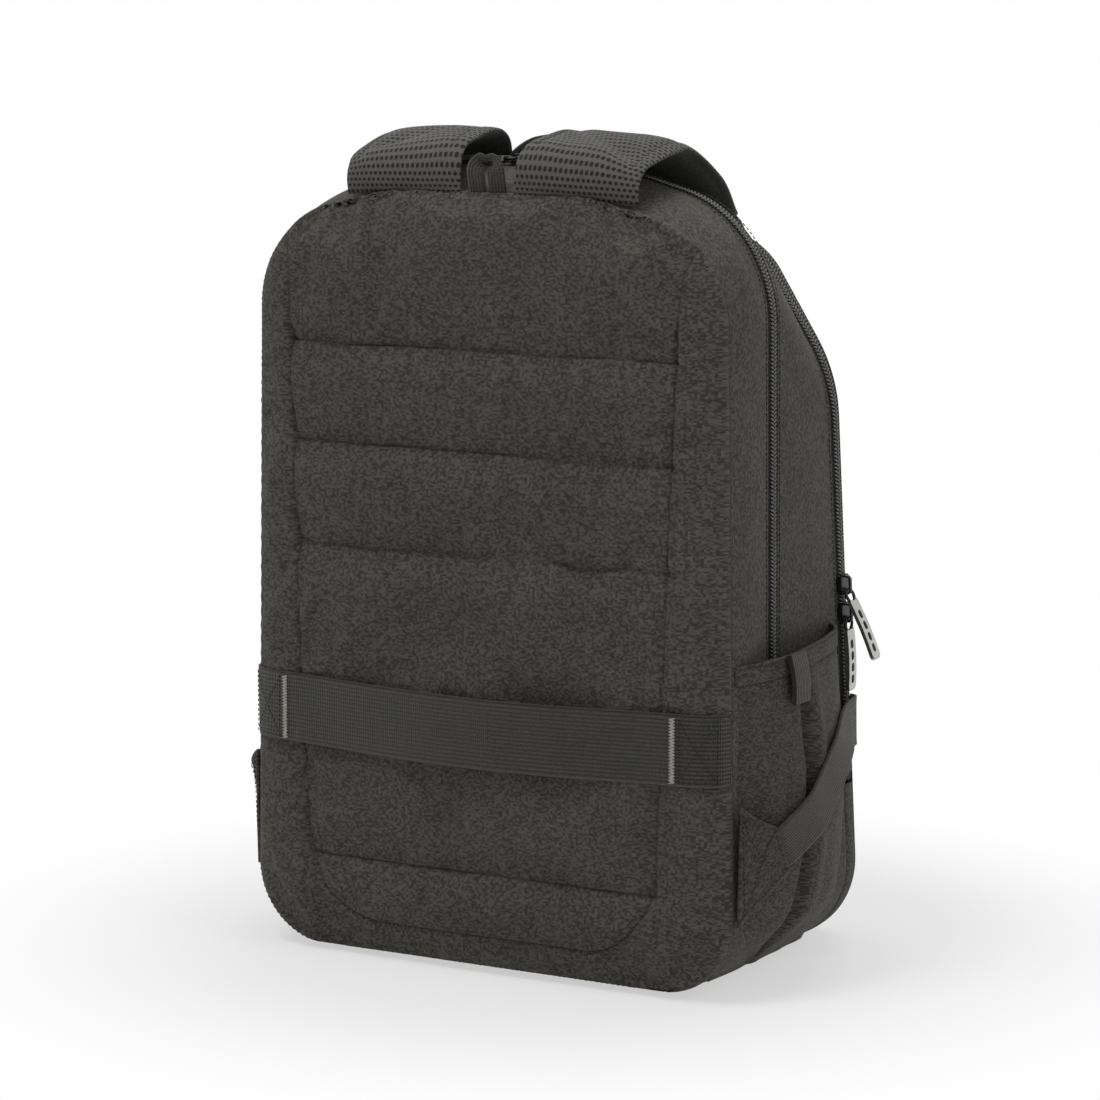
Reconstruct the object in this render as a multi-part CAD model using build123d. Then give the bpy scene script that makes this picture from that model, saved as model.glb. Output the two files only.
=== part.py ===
"""School backpack with a padded laptop back, three zipped compartments, two side pockets and mesh shoulder straps.

It stands upright on its base, empty but holding its shape, with both shoulder straps laid over the top and down
the front. +Z is up, the padded back faces -Y and the front pocket faces +Y. The origin is the middle of the flat
base. All sizes are millimetres. Soft parts are plain closed solids of the right place and size.
"""

from build123d import *
from dataclasses import dataclass
from math import hypot, radians, sin, cos, tan
import os

# ---- driving sizes ----------------------------------------------------------------------------------------------
gap = 0.3                # clearance between pieces that lie against each other
wall = 3.0               # padded and lined gusset fabric
bag_half_width = 156.0   # half the width at the base
bag_top = 456.0          # top of the laptop zip, the highest line of the shell
main_depth = 102.0       # from the laptop zip to the main zip, at the base
laptop_depth = 48.0      # from the seam of the padded back to the laptop zip
pocket_depth = 18.0      # from the main zip to the front pocket's zip, at the base
front_depth = 26.0       # from the front pocket's zip to the front face, at the base

# zip chain
tape_edge = 5.7          # half width of a zip's two tapes
tape_thick = 1.2
tape_sunk = 0.9          # the tape lies this far below the shell's outer surface
slit_half = 0.8          # half the slit between the two halves of the chain
coil_half = 3.5          # half width of the coil
coil_rise = 2.0          # height of the coil above its tape
coil_clear = 0.05        # between a coil and its tape
zip_edge = tape_edge + gap   # the gussets stop this far from a zip's middle
stop_long = 5.0          # end stop of a zip
stop_proud = 0.2         # how far it stands above the coil
laptop_zip_end = 150.0   # height of the zips' lower ends
main_zip_end = 100.0
pocket_zip_end = 120.0

# zip slider and its pull
slider_long = 12.0
slider_half = 5.0
plate = 1.4              # thickness of the slider's top plate and lower wing
slider_clear = 0.4
crown_half = 1.0         # half width of the crown that holds the ring
crown_thick = 1.2
ring_radius = 4.0
ring_wire = 0.9
ring_back = -2.5         # where the ring's wire crosses under the crown, along the slider
pull_long = 38.0
pull_half = 4.5
pull_thick = 2.2
laptop_slider_x = 7.5    # half distance between the laptop zip's two sliders
main_slider_z = 219.0
main_slider_step = 16.5  # how far the lower main slider sits below the upper one
pocket_slider_z = 225.0
lean_on_lower = 23.0     # tilt of the upper main pull, which lies on the lower slider
flat_on_top = -2.0       # tilt of the laptop pulls, which lie on their zip

# padded back
back_rise = 15.0         # how far the padded back stands out behind its seam
cover_thick = 1.5
quilt_lines = (58.0, 240.0, 299.0, 356.0)
quilt_gap = 2.0
column_low, column_high = 114.0, 125.0   # half distance between the upright quilting lines, low and high
board_thick = 1.5
lining_thick = 1.0
band_low, band_high = 124.0, 164.0       # trolley band
band_thick = 1.8
band_tack = 127.0        # half distance between the bar tacks of the band
band_room = 9.5          # room behind the band for a trolley handle
tack_wide, tack_thick = 2.5, 0.6

# inside
divider_thick = 6.0
divider_top = 330.0
divider_room = 4.0       # between the rear gusset's zip and the laptop divider
board_room = 2.0         # between the base board and what is before and behind it
front_divider_thick = 1.2
base_board_thick = 2.0

# side pockets
pocket_floor = 22.0
pocket_rim_rear, pocket_rim_front = 189.0, 198.0
pocket_bulge = 22.0      # how far a side pocket stands out from the shell
pocket_wall = 2.0
hem_high = 12.0

# shoulder straps, webbing and loops
strap_width = 78.0
strap_tip_width = 44.0
cover_fabric = 1.4
foam_thick = 6.0
mesh_thick = 1.4
foam_inset = 2.0         # the foam ends this far inside the strap's edges
webbing_width = 28.0
webbing_thick = 1.6
lock_high, lock_thick = 30.0, 6.0
lock_slot = 5.0
lock_rim = 4.0           # beside the ends of a ladder lock's slots
slot_room = 2.0          # how much longer a slot is than the webbing is wide
holder_leg = 19.0        # how far webbing lies along a ladder lock from its middle
tail_leg = 34.0
tab_thick = 2.4
webbing_climb = 0.62     # rise of the lower webbing for each millimetre forwards
loop_tab_wide, loop_tab_high, loop_tab_thick = 15.0, 28.0, 3.0   # loop at a side pocket's hem
loop_tab_off = 3.2       # its middle off the hem
handle_half, handle_rise, handle_width, handle_thick = 31.0, 28.0, 22.0, 2.4
loop_width, loop_thick, loop_rise = 10.0, 1.5, 17.0

lock_width = webbing_width + slot_room + 2 * lock_rim
laptop_y = -main_depth / 2
main_y = main_depth / 2
seam_y = laptop_y - laptop_depth
pocket_y = main_y + pocket_depth
front_y = pocket_y + front_depth


# ---- outlines of the shell --------------------------------------------------------------------------------------
def inset_corners(corners, inset):
    """Corners of a counter-clockwise polygon with every side moved inwards by inset."""
    moved = []
    for i, (x, z) in enumerate(corners):
        ax, az = corners[i - 1]
        bx, bz = corners[(i + 1) % len(corners)]
        la, lb = hypot(x - ax, z - az), hypot(bx - x, bz - z)
        ux, uz = (x - ax) / la, (z - az) / la
        vx, vz = (bx - x) / lb, (bz - z) / lb
        along = inset * (1 - (ux * vx + uz * vz)) / (ux * vz - uz * vx)
        moved.append((x - uz * inset - ux * along, z + ux * inset - uz * along))
    return moved


@dataclass
class Arch:
    """An upright outline: straight sides, rounded feet, sloping shoulders and a flat crown."""

    y: float            # where the outline's plane meets the base
    lean: float         # degrees that the plane leans towards the back
    base: float
    foot: float         # half width at the base
    shoulder: float     # half width at the shoulder
    shoulder_z: float
    crown: float        # half width of the crown
    top: float
    foot_round: float
    shoulder_round: float
    crown_round: float

    def plane(self, shift=0.0):
        """The outline's plane, moved forwards by shift and still with its origin on the floor."""
        tilt = radians(self.lean)
        return Plane(origin=(0, self.y + shift / cos(tilt), 0), x_dir=(1, 0, 0), z_dir=(0, -cos(tilt), -sin(tilt)))

    def face(self, inset=0.0, shift=0.0):
        corners = inset_corners(
            [(-self.foot, self.base), (self.foot, self.base), (self.shoulder, self.shoulder_z),
             (self.crown, self.top), (-self.crown, self.top), (-self.shoulder, self.shoulder_z)], inset)
        rounds = [max(1.0, r - inset) for r in (
            self.foot_round, self.foot_round, self.shoulder_round,
            self.crown_round, self.crown_round, self.shoulder_round)]
        return self.plane(shift) * make_face(FilletPolyline(*corners, radius=rounds, close=True))


seam = Arch(seam_y, 0, 3.0, bag_half_width, bag_half_width - 6.5, bag_top - 33, 60, bag_top - 12.5, 44, 60, 160)
laptop = Arch(laptop_y, 0, 0, bag_half_width, bag_half_width - 3.5, bag_top - 25, 62, bag_top, 46, 75, 120)
main = Arch(main_y, 5.7, 0, bag_half_width + 1.5, bag_half_width + 0.6, bag_top - 115, 104, bag_top - 31, 56, 90, 45)
pocket = Arch(pocket_y, 5.7, 1.5, bag_half_width - 13, bag_half_width - 8, bag_top - 118, 101, bag_top - 36,
              58, 90, 45)
front = Arch(front_y, 6.8, 4.0, bag_half_width - 18, bag_half_width - 15, bag_top - 124, 95, bag_top - 45,
             58, 84, 45)


def block(outlines, inset=0.0):
    """A solid through a row of outlines, each (outline, inset, shift along its normal), all inset further."""
    return loft([a.face(inner + inset, shift) for a, inner, shift in outlines], ruled=True)


def sleeve(start, start_shift, end, end_shift, inset=0.0, thickness=wall):
    """A closed tube of fabric from one outline to another."""
    ends = [(start, inset, start_shift), (end, inset, end_shift)]
    return block(ends) - block(ends, thickness)


def half_space(plane):
    """Everything ahead of a plane."""
    return extrude(plane * Rectangle(1600, 1600), 800)


def above(part, z):
    return part & half_space(Plane(origin=(0, 0, z)))


def below(part, z):
    return part & half_space(Plane(origin=(0, 0, z), z_dir=(0, 0, -1)))


def mirrored(part):
    return mirror(part, about=Plane.YZ)


def together(*shapes):
    return Compound([s for shape in shapes for s in shape.solids()])


# ---- ribbons and straps -----------------------------------------------------------------------------------------
def ribbon(points, thickness):
    """A flat face that follows a row of points, half its thickness to each side."""
    left, right = [], []
    for i, (x, y) in enumerate(points):
        before, after = points[max(0, i - 1)], points[min(len(points) - 1, i + 1)]
        length = hypot(after[0] - before[0], after[1] - before[1])
        nx, ny = (before[1] - after[1]) / length, (after[0] - before[0]) / length
        left.append((x + nx * thickness / 2, y + ny * thickness / 2))
        right.append((x - nx * thickness / 2, y - ny * thickness / 2))
    return make_face(Polyline(*left, *reversed(right), close=True))


def strap(stations, low, high, narrower=0.0):
    """A flat strap through stations (x, y, z, half width, side), from low to high above that line.

    A station's side is the direction across the strap, and its faces lie along the normal to side and route.
    """
    sections = []
    for i, (x, y, z, half, side) in enumerate(stations):
        before, after = stations[max(0, i - 1)][:3], stations[min(len(stations) - 1, i + 1)][:3]
        route = (Vector(*after) - Vector(*before)).normalized()
        across = (Vector(*side) - route * Vector(*side).dot(route)).normalized()
        plane = Plane(origin=(x, y, z), x_dir=across, z_dir=route)
        sections.append(plane * Pos(0, (low + high) / 2) * Rectangle(2 * (half - narrower), high - low))
    return loft(sections, ruled=True)


# ---- zip parts --------------------------------------------------------------------------------------------------
def zip_tapes(arch, low_end):
    """Both tapes of a zip, sunk below the shell, with the slit between them."""
    halves = (sleeve(arch, a, arch, b, tape_sunk, tape_thick)
              for a, b in ((-tape_edge, -slit_half), (slit_half, tape_edge)))
    return together(*(above(half, low_end) for half in halves))


def zip_coil(arch, low_end):
    """Both halves of the coil, standing on the tapes, with a metal stop across each end."""
    halves = (sleeve(arch, a, arch, b, tape_sunk - coil_rise, coil_rise - coil_clear)
              for a, b in ((-coil_half, -slit_half), (slit_half, coil_half)))
    height = coil_rise + stop_proud
    stop = Pos(0, 0, height / 2 - tape_sunk + coil_clear) * Box(stop_long - 1, 2 * coil_half, height)
    stops = (side_plane(arch, side, low_end + stop_long / 2 + 0.5) * stop for side in (-1, 1))
    return together(*(above(half, low_end + stop_long + 1) for half in halves), *stops)


roof_low = coil_rise - tape_sunk + slider_clear          # heights above the shell's surface at a zip
roof_top = roof_low + plate
ring_height = roof_top + slider_clear + ring_wire
crown_low = ring_height + ring_wire + slider_clear


def slider_body():
    """A slider on the XY plane: X along the zip, Y across it, Z outwards from the shell's surface."""
    roof = Pos(0, 0, roof_low + plate / 2) * Box(slider_long, 2 * slider_half, plate)
    roof = fillet(roof.edges().filter_by(Axis.Z), 2.4)
    flange_low, flange_high = -tape_sunk + slider_clear, roof_low + plate / 2
    for side in (-1, 1):
        flange = Box(slider_long - 5.5, 1.0, flange_high - flange_low)
        roof += Pos(0, side * (slider_half - 0.5), (flange_low + flange_high) / 2) * flange
    wing_high = -tape_sunk - tape_thick - slider_clear
    wing = Pos(0, 0, wing_high - plate / 2) * Box(slider_long, 2 * slider_half - 1, plate)
    post_low, post_high = wing_high - plate / 2, roof_low + plate / 2
    post = Pos(3.4, 0, (post_low + post_high) / 2) * Box(3.0, 2 * slit_half - 0.6, post_high - post_low)
    arm = [(-5.2, roof_top - 0.5), (-5.0, crown_low - 0.6), (-3.8, crown_low + crown_thick / 2),
           (3.8, crown_low + crown_thick / 2), (5.0, crown_low - 0.6), (5.2, roof_top - 0.5)]
    side_on = Plane(origin=(0, crown_half, 0), x_dir=(1, 0, 0), z_dir=(0, -1, 0))
    crown = extrude(side_on * ribbon(arm, crown_thick), 2 * crown_half)
    return roof + wing + post + crown


def pull_ring():
    """The wire ring, with its hinge line on the Y axis and the pull towards +X."""
    return Pos(ring_radius, 0, 0) * Torus(ring_radius, ring_wire)


def pull_tab():
    """The curved pull with its row of slots, forked round the ring."""
    start = 2 * ring_radius - 2.6
    curve = [(start, 0.0), (start + 9, 0.5), (start + 18, 0.8), (start + 28, 0.5), (start + pull_long, -0.2)]
    side_on = Plane(origin=(0, pull_half, 0), x_dir=(1, 0, 0), z_dir=(0, -1, 0))
    blank = extrude(side_on * ribbon(curve, pull_thick), 2 * pull_half)
    outline = Pos(start + pull_long / 2, 0) * RectangleRounded(pull_long, 2 * pull_half, 3.2)
    tab = blank & extrude(outline, 8, both=True)
    for i in range(4):
        tab -= extrude(Pos(start + 10.5 + 6.9 * i, 0) * SlotOverall(5.2, 3.4), 8, both=True)
    tab -= Pos(start, 0, 0) * Box(3.6, 5.0, 16)
    tab -= Pos(ring_radius, 0, 0) * Torus(ring_radius, ring_wire + gap)
    return max(tab.solids(), key=lambda s: s.volume)


def on_slider(plane, part, tilt):
    """Places part of a pull on a slider, trailing back along the zip and lifted from it by tilt degrees."""
    hinge = Plane(origin=plane.from_local_coords((ring_back, 0, ring_height)), x_dir=-plane.x_dir, z_dir=plane.z_dir)
    return hinge * Rot(0, -tilt, 0) * part


def side_plane(arch, side, z):
    """The plane of a slider on a zip's straight side at height z: X up the zip, Z outwards."""
    rise = arch.shoulder_z - arch.base
    steep = hypot(arch.shoulder - arch.foot, rise)
    run = ((arch.shoulder - arch.foot) / steep, rise / steep)
    x = arch.foot + (z - arch.base) / rise * (arch.shoulder - arch.foot)
    flat = arch.plane()
    origin = flat.from_local_coords((side * x, z, 0))
    up = flat.from_local_coords((side * (x + run[0]), z + run[1], 0)) - origin
    out = flat.from_local_coords((side * (x + run[1]), z - run[0], 0)) - origin
    return Plane(origin=origin, x_dir=up, z_dir=out)


def top_plane(arch, x):
    """The plane of a slider on a zip's flat crown at x: X towards the bag's middle, Z up."""
    return Plane(origin=(x, arch.y, arch.top), x_dir=(-1 if x > 0 else 1, 0, 0), z_dir=(0, 0, 1))


parts = {}

# ---- padded back ------------------------------------------------------------------------------------------------
dome = ((gap, gap), (8.0, 4.0), (13.0, 12.0), (back_rise, 26.0))    # (behind the seam, inset) of the padded back


def back_block(taken_in):
    """The padded back as a solid, with its surface taken in."""
    outlines = [(seam, inset + taken_in, -rise) for rise, inset in dome[:-1]]
    rise, inset = dome[-1]
    return block([*outlines, (seam, inset + taken_in, taken_in - rise)])


def quilt_half(z):
    share = (z - quilt_lines[0]) / (quilt_lines[-1] - quilt_lines[0])
    return column_low + share * (column_high - column_low)


def quilt_slab(low, high, wider=0.0):
    """Everything between the upright quilting lines, from height low to height high."""
    a, b = quilt_half(low) + wider, quilt_half(high) + wider
    corners = make_face(Polyline((-a, low), (a, low), (b, high), (-b, high), close=True))
    return extrude(Plane(origin=(0, seam_y, 0), x_dir=(1, 0, 0), z_dir=(0, -1, 0)) * corners, 60, both=True)


parts["back_cover"] = back_block(0) - back_block(cover_thick)
padding = back_block(cover_thick + gap)
levels = [-20.0, *quilt_lines, bag_top + 20]
channels = [padding & quilt_slab(low + quilt_gap / 2, high - quilt_gap / 2) for low, high in zip(levels, levels[1:])]
sides = padding - quilt_slab(levels[0], levels[-1], quilt_gap)
parts["back_padding"] = together(*channels, *(
    sides & Pos(way * 400, seam_y, 200) * Box(800, 200, 1000) for way in (-1, 1)))

parts["back_board"] = block([(seam, wall + 2 * gap, gap), (seam, wall + 2 * gap, gap + board_thick)])
lining_at = 2 * gap + board_thick
parts["back_lining"] = block([(seam, wall + 2 * gap, lining_at), (seam, wall + 2 * gap, lining_at + lining_thick)])

# ---- shell, from the back to the front --------------------------------------------------------------------------
parts["rear_gusset"] = sleeve(seam, gap, laptop, -zip_edge)
base_flat = main.foot - main.foot_round - 1.0     # half width of the base that is one true plane
flat_from, flat_to = laptop_y + zip_edge + 1.0, main_y - zip_edge - 1.0
flat_base = Pos(0, (flat_from + flat_to) / 2, wall / 2) * Box(2 * base_flat, flat_to - flat_from, wall)
parts["middle_gusset"] = sleeve(laptop, zip_edge, main, -zip_edge) - scale(flat_base, (1, 1, 3)) + flat_base
parts["front_gusset"] = sleeve(main, zip_edge, pocket, -zip_edge)
for name, arch, low_end in (("laptop", laptop, laptop_zip_end), ("main", main, main_zip_end),
                            ("front_pocket", pocket, pocket_zip_end)):
    parts[f"{name}_zip_tapes"] = zip_tapes(arch, low_end)
    parts[f"{name}_zip_coil"] = zip_coil(arch, low_end)
    parts[f"{name}_zip_end_band"] = below(sleeve(arch, -tape_edge, arch, tape_edge), low_end - gap)

front_dome = ((pocket, 0.0, zip_edge), (front, 0.0, -11.0), (front, 7.0, -3.0), (front, 22.0, 0.0))


def front_block(taken_in, further_back=0.0):
    """The front pocket's bulging front as a solid, with its surface taken in and its rear end moved back."""
    (rear, rear_inset, rear_shift), *middle, (face, face_inset, face_shift) = front_dome
    return block([(rear, rear_inset + taken_in, rear_shift - further_back),
                  *((arch, inset + taken_in, shift) for arch, inset, shift in middle),
                  (face, face_inset + taken_in, face_shift - taken_in)])


parts["front_panel"] = front_block(0) - front_block(wall, further_back=1.0)

# ---- inside -----------------------------------------------------------------------------------------------------
main_cavity = block([(laptop, wall + gap, zip_edge), (main, wall + gap, -zip_edge)])
divider_y = laptop_y + zip_edge + divider_room
slab = Pos(0, divider_y + divider_thick / 2, 0) * Box(800, divider_thick, 2000)
parts["laptop_divider"] = below(main_cavity & slab, divider_top)
front_gusset_deep = pocket_depth * cos(radians(main.lean)) - 2 * zip_edge
narrowing = (main.foot - pocket.foot) / front_gusset_deep * (front_divider_thick + 2 * gap)
front_divider_in = wall + narrowing + 2 * gap       # the front gusset narrows steeply beside the divider
parts["front_divider"] = block([(main, front_divider_in, zip_edge + gap),
                                (main, front_divider_in, zip_edge + gap + front_divider_thick)])
board_from, board_to = divider_y + divider_thick + board_room, main_y - zip_edge - board_room
board_half = main.foot - main.foot_round - 4
parts["base_board"] = Pos(0, (board_from + board_to) / 2, wall + gap + base_board_thick / 2) * Box(
    2 * board_half, board_to - board_from, base_board_thick)

# ---- zip sliders and pulls --------------------------------------------------------------------------------------
slider, ring, tab = slider_body(), pull_ring(), pull_tab()
sliders = {
    "laptop_zip_left": (top_plane(laptop, -laptop_slider_x), flat_on_top),
    "laptop_zip_right": (top_plane(laptop, laptop_slider_x), flat_on_top),
    "main_zip_upper": (side_plane(main, 1, main_slider_z), lean_on_lower),
    "main_zip_lower": (side_plane(main, 1, main_slider_z - main_slider_step), 0.0),
    "front_pocket_zip": (side_plane(pocket, -1, pocket_slider_z), 0.0),
}
for name, (plane, tilt) in sliders.items():
    parts[f"{name}_slider"] = plane * slider
    parts[f"{name}_ring"] = on_slider(plane, ring, tilt)
    parts[f"{name}_pull"] = on_slider(plane, tab, tilt)

# ---- trolley band -----------------------------------------------------------------------------------------------
band_off = band_thick / 2 + 2 * gap
half_seam = bag_half_width - 6.5 * band_low / seam.shoulder_z
out = [(half_seam - inset + band_off, seam_y - rise - band_off * min(1.0, rise / 6)) for rise, inset in dome[1:-1]]
band_half = [(half_seam + band_off, seam_y - 2.0), *out, (half_seam - dome[-1][1], seam_y - back_rise - band_off),
             (100, seam_y - back_rise - 3.2), (50, seam_y - back_rise - 0.85 * band_room),
             (20, seam_y - back_rise - band_room)]
band_path = band_half + [(-x, y) for x, y in reversed(band_half)]
parts["trolley_band"] = Pos(0, 0, band_low) * extrude(ribbon(band_path, band_thick), band_high - band_low)
beyond, within = next((a, b) for a, b in zip(band_path, band_path[1:]) if a[0] >= band_tack >= b[0])
share = (beyond[0] - band_tack) / (beyond[0] - within[0])
band_y = beyond[1] + share * (within[1] - beyond[1])
tack_y = band_y - band_thick / 2 - 2 * gap - tack_thick / 2
tack = Box(tack_wide, tack_thick, band_high - band_low - 1)
parts["band_bar_tacks"] = together(*(
    Pos(side * band_tack, tack_y, (band_low + band_high) / 2) * tack for side in (-1, 1)))

# ---- side pockets -----------------------------------------------------------------------------------------------
pocket_rear, pocket_front = seam_y + 3.0, main_y - 32.0
pocket_shape = ((0.0, -0.2), (0.2, 0.60), (0.42, 0.98), (0.68, 1.0), (0.9, 0.62), (1.0, -0.2))   # (along, bulge)
pocket_levels = ((pocket_floor - 8, -13.0, 0.1), (pocket_floor + 8, -5.0, 0.5), (52.0, 0.0, 0.88), (110.0, 0.0, 1.0),
                 (160.0, 0.0, 0.84), (215.0, 0.0, 0.5))     # (height, foot's rounding, share of the bulge)


def between_rows(rows, at):
    """The row at a value of the first column, interpolated in a table."""
    for a, b in zip(rows, rows[1:]):
        if at <= b[0]:
            share = (at - a[0]) / (b[0] - a[0])
            return [p + share * (q - p) for p, q in zip(a, b)]
    return rows[-1]


def pocket_skin(along, z):
    """Half width of the side pocket's outer surface, at a share of its length and at height z."""
    _, low = between_rows(pocket_shape, along)
    _, rounding, share = between_rows(pocket_levels, z)
    return bag_half_width + rounding + share * pocket_bulge * low


def pocket_block(taken_in):
    """The right side pocket as a solid, with its surface taken in."""
    length = pocket_front - pocket_rear - 2 * taken_in
    sections = []
    for z, _, _ in pocket_levels:
        rim = [(pocket_skin(a, z) - taken_in, pocket_rear + taken_in + a * length) for a, _ in pocket_shape]
        inner = bag_half_width - 40
        face = make_face(Polyline((inner, rim[0][1]), *rim, (inner, rim[-1][1]), close=True))
        sections.append(Pos(0, 0, z + taken_in) * face)
    return loft(sections, ruled=True)


grown_shell = block([(seam, -gap, gap), (laptop, -gap, -zip_edge), (laptop, -gap, zip_edge), (main, -gap, -zip_edge)])
pouch = pocket_block(0) - pocket_block(pocket_wall) - grown_shell
pouch = max((pouch & half_space(Plane(origin=(bag_half_width - 30, 0, 0), z_dir=(1, 0, 0)))).solids(),
            key=lambda s: s.volume)
rim_slope = (pocket_rim_front - pocket_rim_rear) / (pocket_front - pocket_rear)


def rim_plane(drop, way=1):
    return Plane(origin=(0, pocket_rear, pocket_rim_rear - drop), z_dir=(0, -way * rim_slope, way))


pocket_body = pouch & half_space(rim_plane(hem_high + gap, -1))
hem = pouch & half_space(rim_plane(0, -1)) & half_space(rim_plane(hem_high))


def over_pocket(along, z, off):
    """A point off the side pocket's outer surface, at a share of its length and at height z."""
    return pocket_skin(along, z) + off, pocket_rear + along * (pocket_front - pocket_rear), z


# ---- shoulder straps, right side --------------------------------------------------------------------------------
def front_face(z, off=0.0):
    return front_y - tan(radians(front.lean)) * z + off


half, tip, strap_off = strap_width / 2, strap_tip_width / 2, 3.0
route = [
    (55.5, seam_y + 1.5, seam.top + 0.6, half, (-1, 0, 0.20)),
    (56.0, seam_y + 6.0, laptop.top + 1.0, half, (-1, 0, 0.15)),
    (57.5, seam_y + 20.0, laptop.top + 7.0, half, (-1, 0, 0.12)),
    (61.0, laptop_y + 2.0, laptop.top + 10.0, half, (-1, 0, 0.10)),
    (69.0, laptop_y + 32.0, laptop.top - 6.0, half - 5, (-1, 0, 0.12)),
    (66.0, 6.0, main.top + 7.0, half - 8, (-1, 0, 0.10)),
    (54.0, 27.0, main.top, half - 7, (-1, 0, 0.06)),
    (48.0, front_face(392, 8), main.top - 18.0, half - 7, (-1, 0, 0.03)),
    (56.0, front_face(360, strap_off), 360.0, half - 5, (-1, 0, 0)),
    (72.0, front_face(300, strap_off), 300.0, half, (-1, 0, 0)),
    (84.0, front_face(250, strap_off), 250.0, half, (-1, 0, -0.12)),
    (91.0, front_face(215, strap_off), 215.0, half - 5, (-1, 0, -0.26)),
    (101.0, front_face(185, strap_off), 185.0, tip, (-1, 0, -0.37)),
]
foam_at = cover_fabric + gap
mesh_at = foam_at + foam_thick + gap
right_side = {
    "strap_lining": strap(route, 0.0, cover_fabric),
    "strap_foam": strap(route, foam_at, foam_at + foam_thick, foam_inset),
    "strap_mesh": strap(route, mesh_at, mesh_at + mesh_thick),
}

# ladder lock beyond the strap's tip, its short webbing loop and the free end of the lower webbing
tip_at, tip_before = Vector(*route[-1][:3]), Vector(*route[-2][:3])
ahead = (tip_at - tip_before).normalized()
across = Vector(-route[-1][4][0], 0, -route[-1][4][2]).normalized()
lock_at = tip_at + ahead * (lock_high / 2 + 9) + Vector(0, (mesh_at + mesh_thick) / 2, 0)
lock_plane = Plane(origin=lock_at, x_dir=across, z_dir=across.cross(ahead))
bar_at = lock_high / 2 - 6.5
lock = fillet(Box(lock_width, lock_high, lock_thick).edges().filter_by(Axis.Z), 4)
for at in (-bar_at, 0.0, bar_at):
    lock -= Pos(0, at, 0) * Box(webbing_width + slot_room, lock_slot, 3 * lock_thick)
right_side["ladder_lock"] = lock_plane * lock

beside = Plane(origin=lock_at, x_dir=ahead, z_dir=across)
clear_side = lock_thick / 2 + gap + webbing_thick / 2


def lock_loop(way, front_leg, rear_leg):
    """Webbing through a ladder lock's end slot that lies on both of its faces; way is the end."""
    points = [(front_leg, clear_side), (bar_at + 1, clear_side), (bar_at - 0.3, lock_thick / 2 - 0.6),
              (bar_at - 0.3, 0.6 - lock_thick / 2), (bar_at + 1, -clear_side), (rear_leg, -clear_side)]
    return extrude(beside * ribbon([(way * u, v) for u, v in points], webbing_thick), webbing_width / 2, both=True)


right_side["lock_holder"] = lock_loop(-1, holder_leg, holder_leg)
right_side["webbing_tail"] = lock_loop(1, tail_leg, holder_leg)

# lower webbing and its anchor tab
def along_pocket(along, z, lift):
    return (*over_pocket(along, z, lift), webbing_width / 2, (0, -webbing_climb, 1))


lift = webbing_thick + 4 * gap
lower_end = lock_at + ahead * (holder_leg + 7)
lower_route = [
    along_pocket(0.24, 88.0, lift),
    along_pocket(0.45, 104.0, lift),
    along_pocket(0.70, 128.0, lift),
    along_pocket(0.88, 139.0, lift + 1.5),
    (bag_half_width + 13, pocket_front + 3, 140.0, webbing_width / 2, (0, -0.1, 1)),
    (bag_half_width + 6.2, pocket_front + 20, 138.0, webbing_width / 2, (0, 0, 1)),
    (bag_half_width - 5.5, pocket_front + 37, 135.0, webbing_width / 2, (0, 0.1, 1)),
    (bag_half_width - 13, front_face(132, -8), 131.0, webbing_width / 2, (0.1, 0.1, 1)),
    (bag_half_width - 22, front_face(128, 5), 127.0, webbing_width / 2, (0.35, 0, 1)),
    (lower_end.X + 8, front_face(126, 8), lower_end.Z - 9, webbing_width / 2, (1, 0, 0.9)),
    (lower_end.X, lower_end.Y, lower_end.Z, webbing_width / 2, (across.X, 0, across.Z)),
]
right_side["lower_webbing"] = strap(lower_route, 0.0, webbing_thick)
anchor = [(bag_half_width + 2.4, seam_y + 1.5, 78.0, 34.0, (0, 0, 1)),
          (*over_pocket(0.20, 85.5, lift + 1), 16.0, (0, -webbing_climb, 1))]
right_side["anchor_tab"] = strap(anchor, 0.0, tab_thick)

right_side["side_pocket"] = together(pocket_body, hem)
loop_x, loop_y, loop_z = over_pocket(0.36, 176.0, 2.0)
right_side["pocket_loop"] = Pos(loop_x + loop_tab_off, loop_y, loop_z) * Box(
    loop_tab_thick, loop_tab_wide, loop_tab_high)
for name, shape in right_side.items():
    parts[f"{name}_right"] = shape
    parts[f"{name}_left"] = mirrored(shape)

# ---- carry handle and hang loop ---------------------------------------------------------------------------------
top_rear = laptop.plane(zip_edge).from_local_coords((0, laptop.top, 0))
top_front = main.plane(-zip_edge).from_local_coords((0, main.top, 0))
top_slope = (top_front - top_rear).normalized()
handle_at = top_rear + (top_front - top_rear) * 0.42
handle_curve = [(1.0, 0.015), (0.98, 0.30), (0.88, 0.62), (0.62, 0.88), (0.28, 0.98), (0.0, 1.0)]
handle_path = [(handle_half * x, handle_rise * z) for x, z in handle_curve]
handle_path += [(-x, z) for x, z in reversed(handle_path[:-1])]
handle_plane = Plane(origin=handle_at, x_dir=(-1, 0, 0), z_dir=top_slope)
parts["carry_handle"] = extrude(handle_plane * ribbon(handle_path, handle_thick), handle_width / 2, both=True)

loop_plane = Plane(origin=(0, seam_y, seam.top + 2 * gap), x_dir=(1, 0, 0), z_dir=(0, -1, -0.25))
loop_wide = 2 * loop_width + 4
loop = Pos(0, loop_rise / 2) * Rectangle(loop_wide, loop_rise) - Pos(0, loop_rise / 2 - 4) * Rectangle(4.6, loop_rise)
parts["hang_loop"] = extrude(loop_plane * loop, loop_thick / 2, both=True)

# ---- write every piece ------------------------------------------------------------------------------------------
os.makedirs("parts", exist_ok=True)
for name, shape in parts.items():
    export_step(Compound(shape.solids()), f"parts/{name}.step")
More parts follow.
